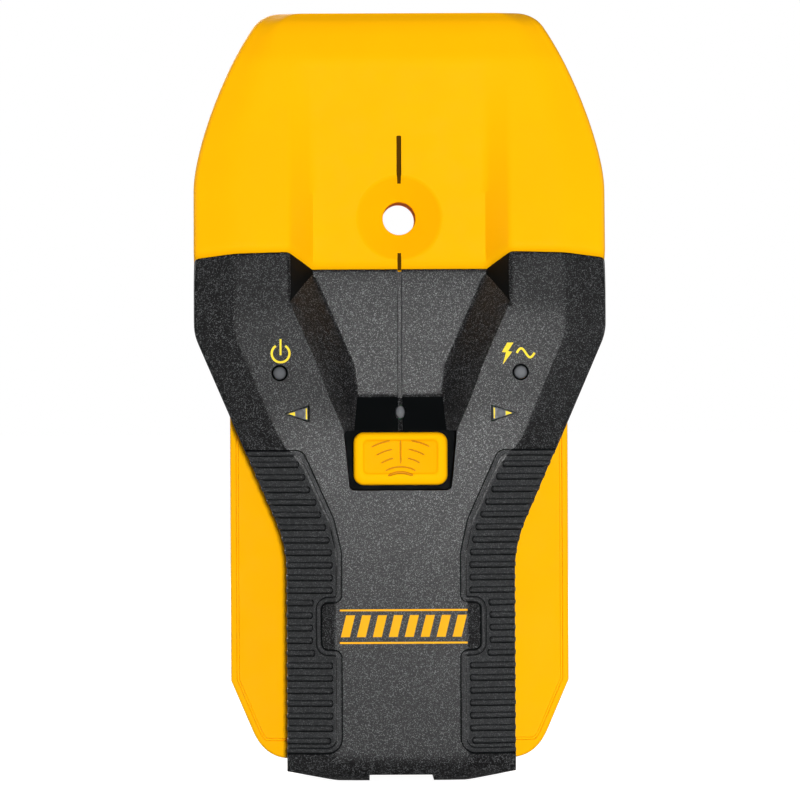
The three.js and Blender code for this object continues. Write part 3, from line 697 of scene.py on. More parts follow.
def make_head_shell():
    start = SEAM["h"] + GAP
    marks = [start, start + 0.12, start + 0.3, start + 0.6, start + 1, start + 1.5, start + 2.4]
    marks += [118.5, HEAD_SIDE_TOP, 161, 162, HEAD_CORNER["h"] + 3.9]
    corner = HEAD_CORNER["h"] + HEAD_CORNER["radius"] * np.sin(np.radians(np.arange(37, 91, 4)))
    rows = np.append(stations(marks, 1.0), np.append(corner[:-1], LENGTH))
    scale = (LENGTH - WALL - start) / (LENGTH - start)
    outer, inner = [], []
    for v in rows:
        shear = 1 - min((v - start) / SEAM_FADE, 1)
        outer.append(raked_row(v, shear, head_foot, eased_edge(v - start, 2.3, 1.0)))
        inner.append(raked_row(start + (v - start) * scale, shear, head_foot, -WALL))
    piece = build("head_shell", shell(np.array(outer), np.array(inner), -1), YELLOW, GROOVE_SHADE)
    top, radius, mouth = CHANNEL_FLOOR, HOLE["radius"], HOLE["funnel"]
    cut(piece, revolved(0, HOLE["h"], [(mouth + 1.4, HOLE["tube"] + 0.2), (mouth + 1.4, top - 1)]), "UNION")
    low = top - HOLE["deep"]
    cone = [(radius, 0), (radius, low - 0.3), (radius + 0.15, low), (mouth - 0.5, top - 0.38)]
    cone += [(mouth - 0.1, top - 0.14), (mouth + 0.3, top - 0.01), (mouth + 0.3, top + 12)]
    cut(piece, revolved(0, HOLE["h"], cone, 96))
    # The groove's new faces take the second material, a dark brown that is painted shade.
    cut(piece, groove(SEAM["h"] - 8, GROOVE_TOP), slot=1)
    return finished(piece, "housing", "yellow_plastic", "head_cover")


def groove(low, high):
    """The sighting groove in the channel's floor, as a cutter with flared edges."""
    rings = []
    for flare, rise in [(-0.06, -GROOVE_DEEP), (0.0, -0.1), (0.1, 0.02), (0.1, 4)]:
        half = GROOVE_HALF + flare
        rings.append(flat_ring(rounded_rectangle(-half, half, low, high, 0.3, 3), CHANNEL_FLOOR + rise))
    return stack(rings)


def front_foot(h):
    """Height above the rear face at which the front cover's side ends."""
    h = np.asarray(h, float)
    return np.where(h < SKIRT_TOP, 0.4, np.where(h < PARTING_STEP, WING_THICK + GAP, HEAD_PARTING + GAP))


def of_side(side, thing):
    return f"{'left' if side < 0 else 'right'}_{thing}"


def arrow_ends(side):
    """The x of the arrow lens's tip and of its base."""
    lens = span(of_side(side, "arrow_lens"))
    return (lens.left, lens.right) if side < 0 else (lens.right, lens.left)


def arrow_outline(side, clear):
    """The arrow lens's triangle with some clearance round it."""
    lens = span(of_side(side, "arrow_lens"))
    tip, base = arrow_ends(side)
    foot = base - side * clear
    point = (tip + side * 1.6 * clear, (lens.bottom + lens.top) / 2)
    corners = [(foot, lens.bottom - clear), point, (foot, lens.top + clear)]
    return np.array(corners[::side])


def button_well():
    """The walls and floor of the button's pocket, under the front surface and under the slope above it."""
    half, low, high = (POCKET[k] + POCKET["wall"] for k in ("half", "low", "high"))
    low -= 2 * POCKET["wall"]
    return [
        block(-half, half, low, NARROW_END - 0.4, POCKET["floor"] - 1.2, 33.0),
        block(-half, half, NARROW_END - 1, high, POCKET["floor"] - 1.2, 31.2),
    ]


def front_cutters():
    """The openings in the front cover: the button's pocket and the lens windows."""
    top = span("scan_button").front
    low, high, half = POCKET["low"], POCKET["high"], POCKET["half"]
    rings = []
    for flare, z in [(0, POCKET["floor"]), (0, top - 1), (0.2, top), (0.2, top + 4)]:
        outline = rounded_rectangle(-half - flare, half + flare, low - flare, high + flare, 0.9 + flare)
        outline[:, 0] *= 1 + POCKET["flare"] * (outline[:, 1] - low)
        rings.append(flat_ring(outline, z))
    shapes = [stack(rings)]
    for lens in ("power_lens", "live_wire_lens"):
        top = span(lens).front
        flared = [(1.5, -12), (1.5, -0.7), (1.8, -0.1), (1.95, 0.5), (1.95, 4)]
        shapes.append(revolved(*middle(lens), [(radius, top + rise) for radius, rise in flared], 32))
    top = span("left_arrow_lens").front
    levels = [(0.15, top - 12), (0.15, top - 0.3), (0.4, top + 0.4), (0.4, top + 4)]
    for side in (-1, 1):
        shapes.append(stack([flat_ring(arrow_outline(side, clear), z) for clear, z in levels]))
    well = [(1.3, CHANNEL_FLOOR - 8), (1.3, CHANNEL_FLOOR + 9)]
    shapes.append(revolved(*middle("centre_lens"), well, 32, across=0.9, along=1.25))
    return merged(*shapes)


def make_front_shell():
    end = SEAM["h"] - GAP
    marks = [0, 0.12, 0.35, 0.7, 1.2, END_CORNER, 2.7, SKIRT_TOP - 0.01, SKIRT_TOP + 0.01, 6, 47, 58.3, 65]
    marks += [NARROW_END - 0.02, NARROW_END + 0.02, SLOPE_TOP, PARTING_STEP - 0.02, PARTING_STEP + 0.02, 93]
    marks += [97.8, 102.2, *DIAGONAL, end - 0.8, end - 0.3, end - 0.18, end - 0.08, end]
    rows = stations(marks, 0.9)
    scale = (end - WALL) / end
    outer, inner = [], []
    for v in rows:
        shear = min(max((v - end) / (SEAM_FADE - 2) + 1, 0), 1)
        drop = eased_edge(end - v, 0.5, 0.35) - 0.12 * shear**8 + eased_edge(v, 0.3, 0.25)
        outer.append(raked_row(v, shear, front_foot, drop))
        inner.append(raked_row(WALL + v * scale, shear, front_foot, -WALL))
    outer, inner = np.array(outer), np.array(inner)
    shape = shell(outer, inner, 0)
    piece = build("front_shell", shape, BLACK, SMOOTH_BLACK, index=polished(outer, len(shape[1])))
    for side in (-1, 1):
        cut(piece, grip_bed(side), slot=1)
    for well in button_well():
        cut(piece, well, "UNION")
    cut(piece, front_cutters(), slot=1)
    cut(piece, revolved(0, middle("switch_body")[1], [(POCKET["stem"], 20), (POCKET["stem"], 30)]), slot=1)
    cut(piece, groove(SLOPE_TOP - 0.3, 130))
    cut(piece, slope_groove())
    notch = span("battery_door")
    cut(piece, block(-7.2, 7.2, -1, 1.3, -1, 60))
    cut(piece, block(-7.0, 7.0, -1, WING_BOTTOM + 1, -1, notch.front + 0.6))
    return finished(piece, "housing", "black_plastic", "front_cover")


def slope_groove():
    """The same groove carried on up the slope to the button."""
    foot, top = GROOVE_HALF, GROOVE_HALF + 0.1
    section = [(-foot, -0.6), (foot, -0.6), (top, 3), (-top, 3)]
    rings = []
    for h in (SLOPE_TOP + 0.2, NARROW_END - 0.6):
        z = np.interp(h, [NARROW_END, SLOPE_TOP], [NARROW_HEIGHT_ROWS[0][1], CHANNEL_FLOOR])
        rings.append([(x, h, z + rise) for x, rise in section])
    return stack(rings)


def polished(outer, count):
    """Marks the outer grid's polished faces: the lamp's slope, the channel's straight walls and the rim."""
    rows, columns = outer.shape[:2]
    column = np.abs(np.arange(columns - 1) + 0.5 - (columns - 1) / 2)
    h = (outer[:-1, :-1, 1] + outer[1:, 1:, 1]) / 2
    slope = (h > NARROW_END) & (h < SLOPE_TOP) & (column < FLAT_STEPS + BEND_STEPS / 2)
    crease = FLAT_STEPS + 1.5 * BEND_STEPS + WALL_STEPS
    wall = (h > DIAGONAL[0]) & (column > crease) & (column < LAST_WALL + 1)
    rim = np.arange(rows - 1)[:, None] >= rows - 1 - RIM_ROWS
    index = np.zeros(count, int)
    index[: (rows - 1) * (columns - 1)] = (slope | wall | rim).ravel()
    return index


# ---- Grips ----
def rounded_path(corners, first, last):
    """A line of x and h from first to last, whose corners on the way are rounded to their radius."""
    stops = [np.array(p, float) for p in (first, *[c[:2] for c in corners], last)]
    points = [stops[0]]
    for (_, _, radius), before, at, after in zip(corners, stops, stops[1:], stops[2:]):
        way, next_way = [v / np.linalg.norm(v) for v in (at - before, after - at)]
        turn = math.atan2(way[0] * next_way[1] - way[1] * next_way[0], way @ next_way)
        start = at - way * radius * math.tan(abs(turn) / 2)
        centre = start + math.copysign(radius, turn) * np.array([-way[1], way[0]])
        angle = math.atan2(*(start - centre)[::-1])
        points += list(arc(*centre, radius, angle, angle + turn, 8))
    return np.array([*points, stops[-1]])


def spaced(path, step):
    """The path with more points along its straight stretches."""
    parts = [
        np.linspace(a, b, max(1, math.ceil(np.linalg.norm(b - a) / step)), endpoint=False)
        for a, b in zip(path, path[1:])
    ]
    return np.concatenate([*parts, path[-1:]])


def girth(h, lift=0.0, side_lift=0.0):
    """At each h, the line over the handle from its middle round to the grip's foot, and lengths along it."""
    crest = np.stack([0 * h, ridge_height(h) + lift], -1)
    foot = np.stack([half_width(h) + side_lift, 0 * h + GRIP_FOOT], -1)
    side = side_points(h, crest, lift)
    side[..., 0] += np.reshape(side_lift - lift, (-1, 1))
    line = np.concatenate([crest[:, None], side, foot[:, None]], 1)
    steps = np.linalg.norm(np.diff(line, axis=1), axis=2)
    return line, np.concatenate([0 * steps[:, :1], np.cumsum(steps, 1)], 1)


def on_handle(side, u, h, lift, side_share=SIDE_RELIEF):
    """Points u round the handle from its middle, lifted off its front, and by a share off its side."""
    u, h, lift = [np.array(a, float) for a in np.broadcast_arrays(u, h, lift)]
    shape = u.shape
    u, h, lift = u.ravel(), h.ravel(), lift.ravel()
    _, lengths = girth(h)
    line, _ = girth(h, lift, lift * side_share)
    each = np.arange(len(u))
    at = np.clip((lengths <= u[:, None]).sum(1) - 1, 0, lengths.shape[1] - 2)
    share = (u - lengths[each, at]) / (lengths[each, at + 1] - lengths[each, at])
    point = line[each, at] + share[:, None] * (line[each, at + 1] - line[each, at])
    return joined(side * point[:, 0], h, point[:, 1]).reshape(*shape, 3)


def laid(side, rows, lifts, depth, side_share=SIDE_RELIEF, depth_share=1):
    """A closed layer over rows of u and h, from each row's lift down to an even depth."""
    outer = [on_handle(side, u, h, lift, side_share) for (u, h), lift in zip(rows, lifts)]
    inner = [on_handle(side, u, h, depth, depth_share) for u, h in rows]
    return shell(np.array(outer), np.array(inner))


def across_grip(start, h):
    """Distances round the handle at one h, from a start out to the grip's foot."""
    lengths = girth(np.array([h]))[1][0, 1:]
    return np.maximum(lengths, start + 0.02 * np.arange(len(lengths)))


def across(path):
    """The direction square to a path at each of its points."""
    along = np.gradient(path, axis=0)
    along /= np.linalg.norm(along, axis=1, keepdims=True)
    return joined(-along[:, 1], along[:, 0])


def grip_edge(inward):
    """The grip's edge moved inwards: u and h, from its foot at the bottom end to its foot at the top."""
    low, high = GRIP_CORNERS[0][1], GRIP_CORNERS[-1][1]
    ends = [(girth(np.array([h]))[1][0, -1], h) for h in (low, high)]
    path = spaced(rounded_path(GRIP_CORNERS, *ends), 0.9)
    return path - inward * across(path)


def grip_slab(side, inward, low, high, side_share=1.0):
    """A layer under the whole grip, between two heights over the handle's surface."""
    edge = grip_edge(inward)
    inner = edge[edge[:, 0] < GRIP_INNER]
    rising = np.concatenate([[True], np.diff(inner[:, 1]) > 0.004])
    rows = [(across_grip(u, h), h) for u, h in inner[rising]]
    return laid(side, rows, [high] * len(rows), low, side_share)


def grip_bed(side):
    """A cutter for the bed that the grip lies in."""
    return grip_slab(side, -GRIP_GAP, GRIP_BED, 1.2)


def make_bead(side):
    """The raised bead along the grip's edge."""
    low = GRIP_GROUND - 0.1
    profile = [(0, low), (0.16, 0.08), (0.5, 0.14), (0.6, 0.14), (0.84, 0.08), (1.06, low)]
    rows = [grip_edge(BEAD_WIDE * part).T for part, _ in profile]
    return laid(side, rows, [lift for _, lift in profile], GRIP_BED + 0.01)


def rib_start(h):
    """How far round the handle the round inner end of a rib has its centre."""
    edge = grip_edge(BEAD_WIDE + 0.5)
    beside = (np.abs(edge[:, 1] - h) < 0.7) & (edge[:, 0] < GRIP_INNER)
    return edge[beside, 0].max() + 0.6 + RIB_HALF


def make_rib(side, h):
    """One rib, with a rounded inner end, from near the bead to the grip's foot."""
    start = rib_start(h)
    turn = np.linspace(0, math.pi / 2, 6)
    tail = across_grip(start + 0.1, h)
    flank = [(RIB_HALF + RIB_SLOPE, GRIP_GROUND - 0.02), (RIB_HALF - RIB_SLOPE, 0.06), (RIB_HALF / 2, 0.08)]
    rows, lifts = [], []
    for way, profile in ((-1, flank), (1, flank[::-1])):
        for half, lift in profile:
            u = np.concatenate([start - half * np.cos(turn), tail])
            shift = np.concatenate([half * np.sin(turn), half + 0 * tail])
            rows.append((u, h + way * shift))
            lifts.append(lift)
    return laid(side, rows, lifts, GRIP_BED + 0.1)


def make_shade_lines(side, ribs):
    """Painted shade lines: thin dark strips along both edges of the bead and round each rib, where the
    creases fall in shade.
    """
    floor, sunk = GRIP_GROUND + 0.02, GRIP_BED + 0.1
    bands = []
    for low, high, lift in ((-GRIP_GAP, 0.02, 0.02), (BEAD_WIDE - 0.1, BEAD_WIDE + 0.18, floor)):
        bands.append(([grip_edge(low).T, grip_edge(high).T], lift))
    half = RIB_HALF + RIB_SLOPE
    for h in ribs:
        start = rib_start(h) - half - 0.12
        u = across_grip(start, h)
        edges = ((0.3, -half - SHADE_LINE_LOW), (0, -half / 2), (0, half / 2), (0.3, half + SHADE_LINE_HIGH))
        bands.append(([(np.maximum(u, start + back), h + shift) for back, shift in edges], floor))
    parts = [laid(side, rows, [lift] * len(rows), sunk, depth_share=SIDE_RELIEF) for rows, lift in bands]
    finished(build(of_side(side, "grip_shade_lines"), merged(*parts), SMOOTH_BLACK), "housing", "grip_rubber")


def make_grip(side):
    parts = [grip_slab(side, 0.4, GRIP_BED + 0.02, GRIP_GROUND, SIDE_RELIEF), make_bead(side)]
    ribs = [RIB_TOP - k * RIB_PITCH for k in range(RIB_COUNT)]
    parts += [make_rib(side, h) for h in ribs]
    make_shade_lines(side, ribs)
    skin = build(of_side(side, "grip_skin"), merged(*parts), RUBBER, sharp=30)
    return finished(skin, "housing", "grip_rubber", of_side(side, "grip"))


# ---- Scan button ----
def engraving(start, through, end, z, half, deep, steps=24):
    """A cutter for a fine groove along the circle through three points of x and h."""
    a, b, c = (complex(*p) for p in (start, through, end))
    way = (c - a) / (b - a)
    if abs(way.imag) < 1e-6:
        path = np.linspace(start, end, steps + 1)
    else:
        centre = a + (b - a) * (way - abs(way) ** 2) / 2j / way.imag
        turns = np.unwrap([cmath.phase(p - centre) for p in (a, b, c)])
        path = arc(centre.real, centre.imag, abs(a - centre), turns[0], turns[2], steps)
    count = np.arange(steps + 1)
    near_end = np.clip(np.minimum(count, steps - count) / 4, 0, 1)
    taper = 0.25 + 0.75 * np.sqrt(1 - (1 - near_end) ** 2)
    offset = np.array([-1.35, -1.35, -1.0, -0.5, 0.5, 1.0, 1.35, 1.35]) * half
    rise = np.array([1.0, 0.03, -0.3 * deep, -deep, -deep, -0.3 * deep, 0.03, 1.0])
    rings = []
    for point, direction, size in zip(path, across(path), taper):
        x, h = point[:, None] + direction[:, None] * offset * size
        rings.append(joined(x, h, z + rise))
    return stack(rings)


def make_button():
    box, h = span("scan_button"), middle("switch_body")[1]
    half, tall, corner = 10.5, 11.8, 2.3
    top, skirt = box.front, 31.2
    rim = [(0, skirt), (0, top - 1.2), (0.12, top - 0.75), (0.4, top - 0.35), (0.85, top - 0.1), (1.4, top)]
    dish = [(1.9, top - 0.05), (2.15, top - 0.16), (2.35, top - 0.4), (2.6, top - 0.52), (3.6, top - 0.56)]
    floor = dish[-1][1]
    rings = []
    for amount, z in rim + dish:
        share = min(max((amount - 0.4) / 1.6, 0), 1)
        low, high = h - tall / 2 + amount + 0.3 * share, h + tall / 2 - amount + 0.5 * share
        outline = rounded_rectangle(amount - half, half - amount, low, high, max(corner - 0.6 * amount, 0.5))
        rings.append(flat_ring(outline, z))
    shape = stack(rings)
    # The dish's faces, its floor among them, take the third material, a darker yellow that is painted shade.
    index = np.zeros(len(shape[1]), int)
    index[1] = 2
    index[2 + (len(rim) + 1) * len(rings[0]):] = 2
    piece = build("scan_button_cap", shape, BUTTON_YELLOW, ENGRAVING_SHADE, DISH_PAINTED_SHADE, index=index, sharp=40)
    flange = rounded_rectangle(-half + 0.3, half - 0.3, h - tall / 2 + 0.4, h + tall / 2 - 0.4, corner)
    cut(piece, slab(flange, skirt - 1, skirt + 0.2), "UNION")
    cut(piece, revolved(0, h, [(2.0, box.rear), (2.1, box.rear + 0.1), (2.1, skirt + 0.4)], 32), "UNION")
    arcs = [[(0, 76.1), (0, 73.5), (0, 70.9)], [(-3.4, 69.3), (0, 70.2), (3.4, 69.3)]]
    wings = [[(6.5, 74.6), (4.5, 75.5), (2.3, 76.0)], [(5.4, 72.8), (3.7, 73.6), (1.8, 74.1)]]
    wings += [[(4.3, 71.0), (3.0, 71.7), (1.6, 72.1)]]
    for side in (-1, 1):
        arcs += [[(side * x, h) for x, h in points] for points in wings]
    # The engravings' new faces take the second material, a darker amber that is painted shade.
    for points in arcs:
        cut(piece, engraving(*points, floor, 0.15, 0.2), slot=1)
    cut(piece, engraving((-2.8, 68.2), (0, 68.9), (2.8, 68.2), floor, 0.24, 0.3), slot=1)
    return finished(piece, "button", "yellow_plastic", "scan_button")


# ---- Lenses ----
def make_round_lens(node, across=1.0, along=1.0):
    at = span(node)
    radius = (at.right - at.left) / 2 + 0.08
    turn = np.linspace(0, math.pi / 2, 9)
    dome = [(radius * math.cos(a), at.front - 0.9 + 0.9 * math.sin(a)) for a in turn]
    shape = revolved(*middle(node), [(radius, at.rear), *dome], 40, across, along)
    return finished(build(node + "_dome", shape, SMOKE), "housing", "smoked_lens", node)


def make_arrow_lens(side):
    node = of_side(side, "arrow_lens")
    at = span(node)
    top = at.front
    outline = arrow_outline(side, 0.0)
    levels = [(0, at.rear), (0, top - 0.45), (0.12, top - 0.3), (0.3, top - 0.24)]
    body = stack([flat_ring(inset(outline, amount), z) for amount, z in levels])
    base = arrow_ends(side)[1]
    dome = [(1.05 * math.cos(a), top - 0.4 + 0.55 * math.sin(a)) for a in np.linspace(0, math.pi / 2, 7)]
    bulb = revolved(base + side * 1.75, (at.bottom + at.top) / 2, dome, 24)
    return finished(build(node + "_window", merged(body, bulb), SMOKE), "housing", "smoked_lens", node)


# ---- Printed marks ----
def printed(outlines, lift=0.05, height=crest_height):
    """Flat marks that lie on the front surface."""
    shapes = []
    for outline in outlines:
        x, h = np.transpose(outline)
        shapes.append(stack([joined(x, h, height(x, h) + rise) for rise in (-0.1, lift)]))
    return merged(*shapes)


def stroke(path, width):
    """The outline of a line of even width along a path."""
    edge = across(path) * width / 2
    return np.concatenate([path - edge, (path + edge)[::-1]])


def rectangle(x0, x1, h0, h1):
    return [(x0, h0), (x1, h0), (x1, h1), (x0, h1)]


def power_mark():
    x, h, radius, width = -26.65, 95.6, 1.98, 0.5
    gap = math.radians(32)
    ring = arc(x, h, radius, math.pi / 2 + gap, math.pi * 2.5 - gap, 32)
    return [stroke(ring, width), rectangle(x - 0.22, x + 0.22, 95.2, 98.8)]


def live_mark():
    """A lightning bolt and a sine wave."""
    bolt = [(23.9, 97.8), (22.7, 95.7), (23.6, 95.6), (22.9, 92.9)]
    bolt += [(25.0, 95.75), (24.1, 95.9), (25.3, 97.8)]
    x = np.linspace(26.0, 30.0, 41)
    wave = joined(x, 95.5 + np.sin((x - 26) / 4 * 2 * math.pi))
    return [bolt, stroke(wave, 0.5)]


def handle_mark():
    """Two lines with a row of slanted blocks between them."""
    left, right = -13.7, 14.8
    lines = [rectangle(left, right, h - 0.21, h + 0.21) for h in (38.2, 30.9)]
    count, lean = 8, 1.2
    pitch = (right - left) / count
    wide = 0.56 * pitch
    blocks = []
    for i in range(count):
        x = left + 0.2 + i * pitch
        blocks.append([(x, 32.2), (x + wide, 32.2), (x + wide + lean, 37.1), (x + lean, 37.1)])
    return lines + blocks


def make_marks():
    marks = [("power", power_mark(), PRINT), ("live_wire", live_mark(), PRINT)]
    for name, outlines, material in (*marks, ("handle", handle_mark(), BAND_PRINT)):
        finished(build(name + "_mark", printed(outlines), material), "housing", "yellow_plastic")
    for side in (-1, 1):
        lens = span(of_side(side, "arrow_lens"))
        tip, base = arrow_ends(side)
        h, back = (lens.bottom + lens.top) / 2, tip - side * 2.0
        point = [(tip - side * 0.5, h), (back, h + 0.5), (back, h - 0.5)]
        strip = rectangle(*sorted((base + side * 0.2, base + side * 0.5)), h - 1.2, h + 1.2)
        top = lens.front - 0.24
        shape = printed([point, strip], 0.04, lambda x, h: 0 * h + top)
        finished(build(of_side(side, "arrow_mark"), shape, PRINT), "housing", "yellow_plastic")


# ---- Rear cover ----
SHOULDER_FOOT = (HEAD_HALF - 0.2, SHOULDER["h"] + 1)


def rear_outline():
    side = np.concatenate(
        [
            [(WING_FLAT_HALF, WING_BOTTOM)],
            bezier([(WING_FLAT_HALF, WING_BOTTOM), (WING_CORNER_X, WING_BOTTOM), WING_FOOT], 12)[1:],
            [(WING_HALF, WING_CHAMFER_TOP), (WING_HALF, WING_TOP)],
            [SHOULDER_FOOT],
            head_outline(),
        ]
    )
    return np.concatenate([side, side[::-1] * [-1, 1]])


def wing_ring(outline, amount, z):
    ring = inset(outline, amount)
    if amount > 1:
        ring[:, 1] = np.maximum(ring[:, 1], WING_GROOVE["lowest"] + amount - WING_GROOVE["inset"])
    return flat_ring(ring, z)


def make_rear_shell():
    outline = rear_outline()
    levels = slab_levels(0, WING_THICK, 0.8, 0.6)
    for step, sunk in ((-2, 0), (-1, 1), (1, 1), (2, 0)):
        inward = WING_GROOVE["inset"] + step * WING_GROOVE["half"]
        levels.append((inward, WING_THICK - sunk * WING_GROOVE["deep"]))
    piece = build("rear_shell", stack([wing_ring(outline, amount, z) for amount, z in levels]), YELLOW)
    edge = PARTING_STEP + GAP
    shoulder = np.interp(edge, [WING_TOP, SHOULDER_FOOT[1]], [WING_HALF, SHOULDER_FOOT[0]])
    upper = outline[outline[:, 1] > edge]
    tray = np.concatenate([upper, [(-shoulder, edge), (shoulder, edge)]])
    cut(piece, slab(tray, 0, HEAD_PARTING, 0.8, 0.3), "UNION")
    cut(piece, slab(inset(tray, WALL), WALL, HEAD_PARTING + 5))
    hole = [(4.4, -1), (4.4, 0), (4.05, 0.15), (3.75, 0.5), (HOLE["radius"], 0.9), (HOLE["radius"], 30)]
    tube = revolved(0, HOLE["h"], [(5.8, 0.5), (5.8, HOLE["tube"] - 0.3), (5.5, HOLE["tube"])], 64)
    bosses, wells = [tube], [revolved(0, HOLE["h"], hole, 64)]
    well = [(4.0, -1), (4.0, 0), (3.75, 0.1), (3.5, 0.3), (3.4, 0.6), (3.4, 2.4)]
    for i in range(1, 7):
        x, h = middle(f"housing_screw_{i}")
        if h > PARTING_STEP:
            bosses.append(revolved(x, h, [(4.6, 0.5), (4.6, 6.8), (4.4, 7)], 40))
        wells.append(revolved(x, h, well, 48))
    cut(piece, merged(*bosses), "UNION")
    cut(piece, merged(*wells))
    door = span("battery_door")
    half = -span("door_pad").left + 7.6
    cut(piece, block(-half, half, 0, door.top + 0.3, -1, door.front))
    for side in (-1, 1):
        ends = sorted((side * (half - 0.5), side * (half + 1.4)))
        cut(piece, block(*ends, door.top - 1.9, door.top - 0.1, -1, 1.9))
    return finished(piece, "housing", "yellow_plastic", "rear_cover")


def make_door():
    door = span("battery_door")
    half, hinge = 16.3, door.top - 1
    panel = rounded_rectangle(-half, half, WING_BOTTOM, hinge, 0.8)
    piece = build("battery_door_panel", slab(panel, 0, 2.0, 0.45, 0.2), YELLOW)
    cut(piece, crossbar(-half, half, hinge, 1.0, 1.0), "UNION")
    cut(piece, crossbar(-half - 1.3, half + 1.3, hinge, 1.0, 0.7), "UNION")
    latch = slab(rounded_rectangle(-6.4, 6.4, door.bottom, 4.4, 0.5), 0, door.front, 0.4, 0.4)
    cut(piece, latch, "UNION")
    for i in range(4):
        low = 7 + 2.4 * i
        rings = []
        for flare, z in [(0, 0.55), (0.1, 0.3), (0.35, -0.02), (0.35, -1)]:
            half = 7 + flare
            ridge = rounded_rectangle(-half, half, low - flare, low + 1 + flare, 0.5 + flare / 2)
            rings.append(flat_ring(ridge, z))
        cut(piece, stack(rings))
    return finished(piece, "door", "yellow_plastic", "battery_door")


def make_screw(node):
    x, h = middle(node)
    at = span(node)
    radius = (at.right - at.left) / 2
    low = at.rear
    head = [(0.55, 0), (0.8, 0.12), (0.95, 0.4), (1, 0.75), (1, 1.6)]
    outline = [(radius * share, low + rise) for share, rise in head]
    outline += [(1.4, low + 1.75), (1.4, at.front - 2), (0.5, at.front)]
    piece = build(node + "_fine", revolved(x, h, outline, 48), STEEL)
    for wide, tall in ((1.65, 0.36), (0.36, 1.65)):
        rings = []
        for share, z in [(1.0, low - 0.5), (0.9, low + 0.3), (0.55, low + 1.3)]:
            a, b = wide * share, tall * (share + 0.3) / 1.3
            rings.append(flat_ring(rectangle(x - a, x + a, h - b, h + b), z))
        cut(piece, stack(rings), sharp=30)
    return finished(piece, "housing", "steel", node)


# ---- Battery ----
def make_battery():
    at = span("battery")
    foot = [(0.9, 0), (0.35, 0.15), (0, 0.6), (0, 1.6), (0.25, 1.8), (0.25, 2.0), (0, 2.2)]
    head = [(0, 1.9), (0.25, 1.7), (0.25, 1.5), (0, 1.3), (0, 0.5), (0.35, 0.12), (0.9, 0)]
    levels = [(f, at.bottom + rise) for f, rise in foot] + [(f, at.top - drop) for f, drop in head]
    rings = []
    for f, h in levels:
        x, z = rounded_rectangle(at.left + f, at.right - f, at.rear + f, at.front - f, 2.2).T
        rings.append(joined(x, h, z))
    return finished(build("battery_can", stack(rings), BATTERY), "housing", "battery_case", "battery")


# ---- Camera, light and floor ----
CENTRE = Vector((0.1 * MM, -3 * MM, 85.1 * MM))
VIEW_WIDTH = 180.1 * MM
SENSOR = 36.0


def make_camera():
    azimuth, roll = math.radians(-0.7), math.radians(-0.27)
    data = bpy.data.cameras.new("camera")
    data.sensor_width = SENSOR
    data.lens = 300
    camera = bpy.data.objects.new("camera", data)
    bpy.context.scene.collection.objects.link(camera)
    distance = VIEW_WIDTH * data.lens / SENSOR
    back = Vector((math.sin(azimuth), -math.cos(azimuth), 0))
    camera.location = CENTRE + back * distance
    camera.rotation_mode = "QUATERNION"
    camera.rotation_quaternion = (-back).to_track_quat("-Z", "Y") @ Quaternion((0, 0, 1), roll)
    data.clip_start, data.clip_end = 0.05, 50
    bpy.context.scene.camera = camera


def make_lamp(name, at, size, power, diffuse=True, glossy=True):
    data = bpy.data.lights.new(name, "AREA")
    data.shape = "DISK"
    data.size = size
    data.energy = power
    lamp = bpy.data.objects.new(name, data)
    lamp.location = at
    lamp.rotation_mode = "QUATERNION"
    lamp.rotation_quaternion = (CENTRE - Vector(at)).to_track_quat("-Z", "Y")
    lamp.visible_camera = False
    lamp.visible_diffuse, lamp.visible_glossy = diffuse, glossy
    bpy.context.scene.collection.objects.link(lamp)


def make_world():
    """A white background to the camera, and a dim even light to everything else."""
    world = bpy.data.worlds.new("studio")
    bpy.context.scene.world = world
    world.use_nodes = True
    nodes, links = world.node_tree.nodes, world.node_tree.links
    nodes.clear()
    mix = nodes.new("ShaderNodeMixShader")
    links.new(nodes.new("ShaderNodeLightPath").outputs["Is Camera Ray"], mix.inputs[0])
    for place_in_mix, strength in ((1, 0.14), (2, 1.0)):
        white = nodes.new("ShaderNodeBackground")
        white.inputs["Color"].default_value = (1, 1, 1, 1)
        white.inputs["Strength"].default_value = strength
        links.new(white.outputs[0], mix.inputs[place_in_mix])
    links.new(mix.outputs[0], nodes.new("ShaderNodeOutputWorld").inputs["Surface"])


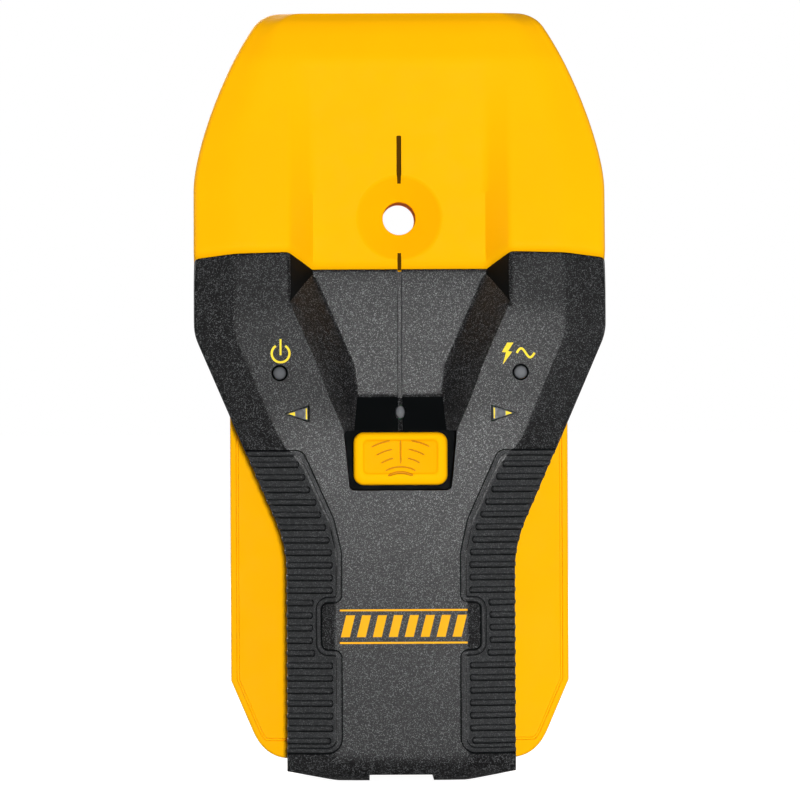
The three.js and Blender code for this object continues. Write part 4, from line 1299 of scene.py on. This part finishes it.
def make_floor():
    glow = {"Emission Color": (1, 1, 1, 1), "Emission Strength": 0.96}
    s = Surface("pale_floor", Roughness=0.9, Specular_IOR_Level=0.0, **glow)
    tone = s.remap(s.noise(3, 3), 0.2, 0.8, 0, 1)
    s.paint(s.blend(tone, (0.36, 0.36, 0.36, 1), (0.35, 0.35, 0.35, 1)))
    bpy.ops.mesh.primitive_plane_add(size=30, location=(0, 0, cad_box[0].z - 0.0001))
    floor = bpy.context.active_object
    floor.name = "floor"
    floor.data.materials.append(s.material)
    floor.visible_diffuse = floor.visible_glossy = False


make_camera()
bpy.context.scene.view_settings.view_transform = "Standard"
make_world()
make_floor()
make_lamp("key", (0.02, -1.45, 0.09), 0.06, 20, glossy=False)
make_lamp("side", (0.85, -1.2, 0.05), 0.3, 3.4, glossy=False)
make_lamp("sheen", (0.065, -1.45, 0.02), 0.18, 3.9, diffuse=False)
make_lamp("rear", (-0.5, 1.3, 0.9), 1.0, 22)
for flank in (-1.3, 1.3):
    make_lamp("flank", (flank, 0.2, 0.2), 0.8, 5)

make_head_shell()
make_front_shell()
for side in (-1, 1):
    make_grip(side)
    make_arrow_lens(side)
make_button()
make_round_lens("power_lens")
make_round_lens("live_wire_lens")
make_round_lens("centre_lens", 0.82, 1.2)
make_marks()
make_rear_shell()
make_door()
for number in range(1, 7):
    make_screw(f"housing_screw_{number}")
make_battery()

# the inner pieces keep their CAD shapes
KEPT = (
    (SMOOTH_BLACK, ["switch_body", "processor_chip", "buzzer", "snap_connector"]),
    (STEEL, ["switch_plunger", "capacitor", "battery_plus_terminal", "battery_minus_terminal"]),
    (STEEL, [f"board_screw_{number}" for number in (1, 2, 3)]),
    (BOARD, ["main_board"]),
    (COPPER, [f"{place}_sensor_plate" for place in ("left", "centre", "right")]),
    (CLEAR, [f"{light}_led" for light in ("left_arrow", "right_arrow", "power", "live_wire", "centre")]),
    (RED_WIRE, ["red_lead"]),
    (BLACK_WIRE, ["black_lead"]),
    (FOAM, ["door_pad"]),
)
for material, names in KEPT:
    for name in names:
        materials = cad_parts[name].data.materials
        materials.clear()
        materials.append(material)
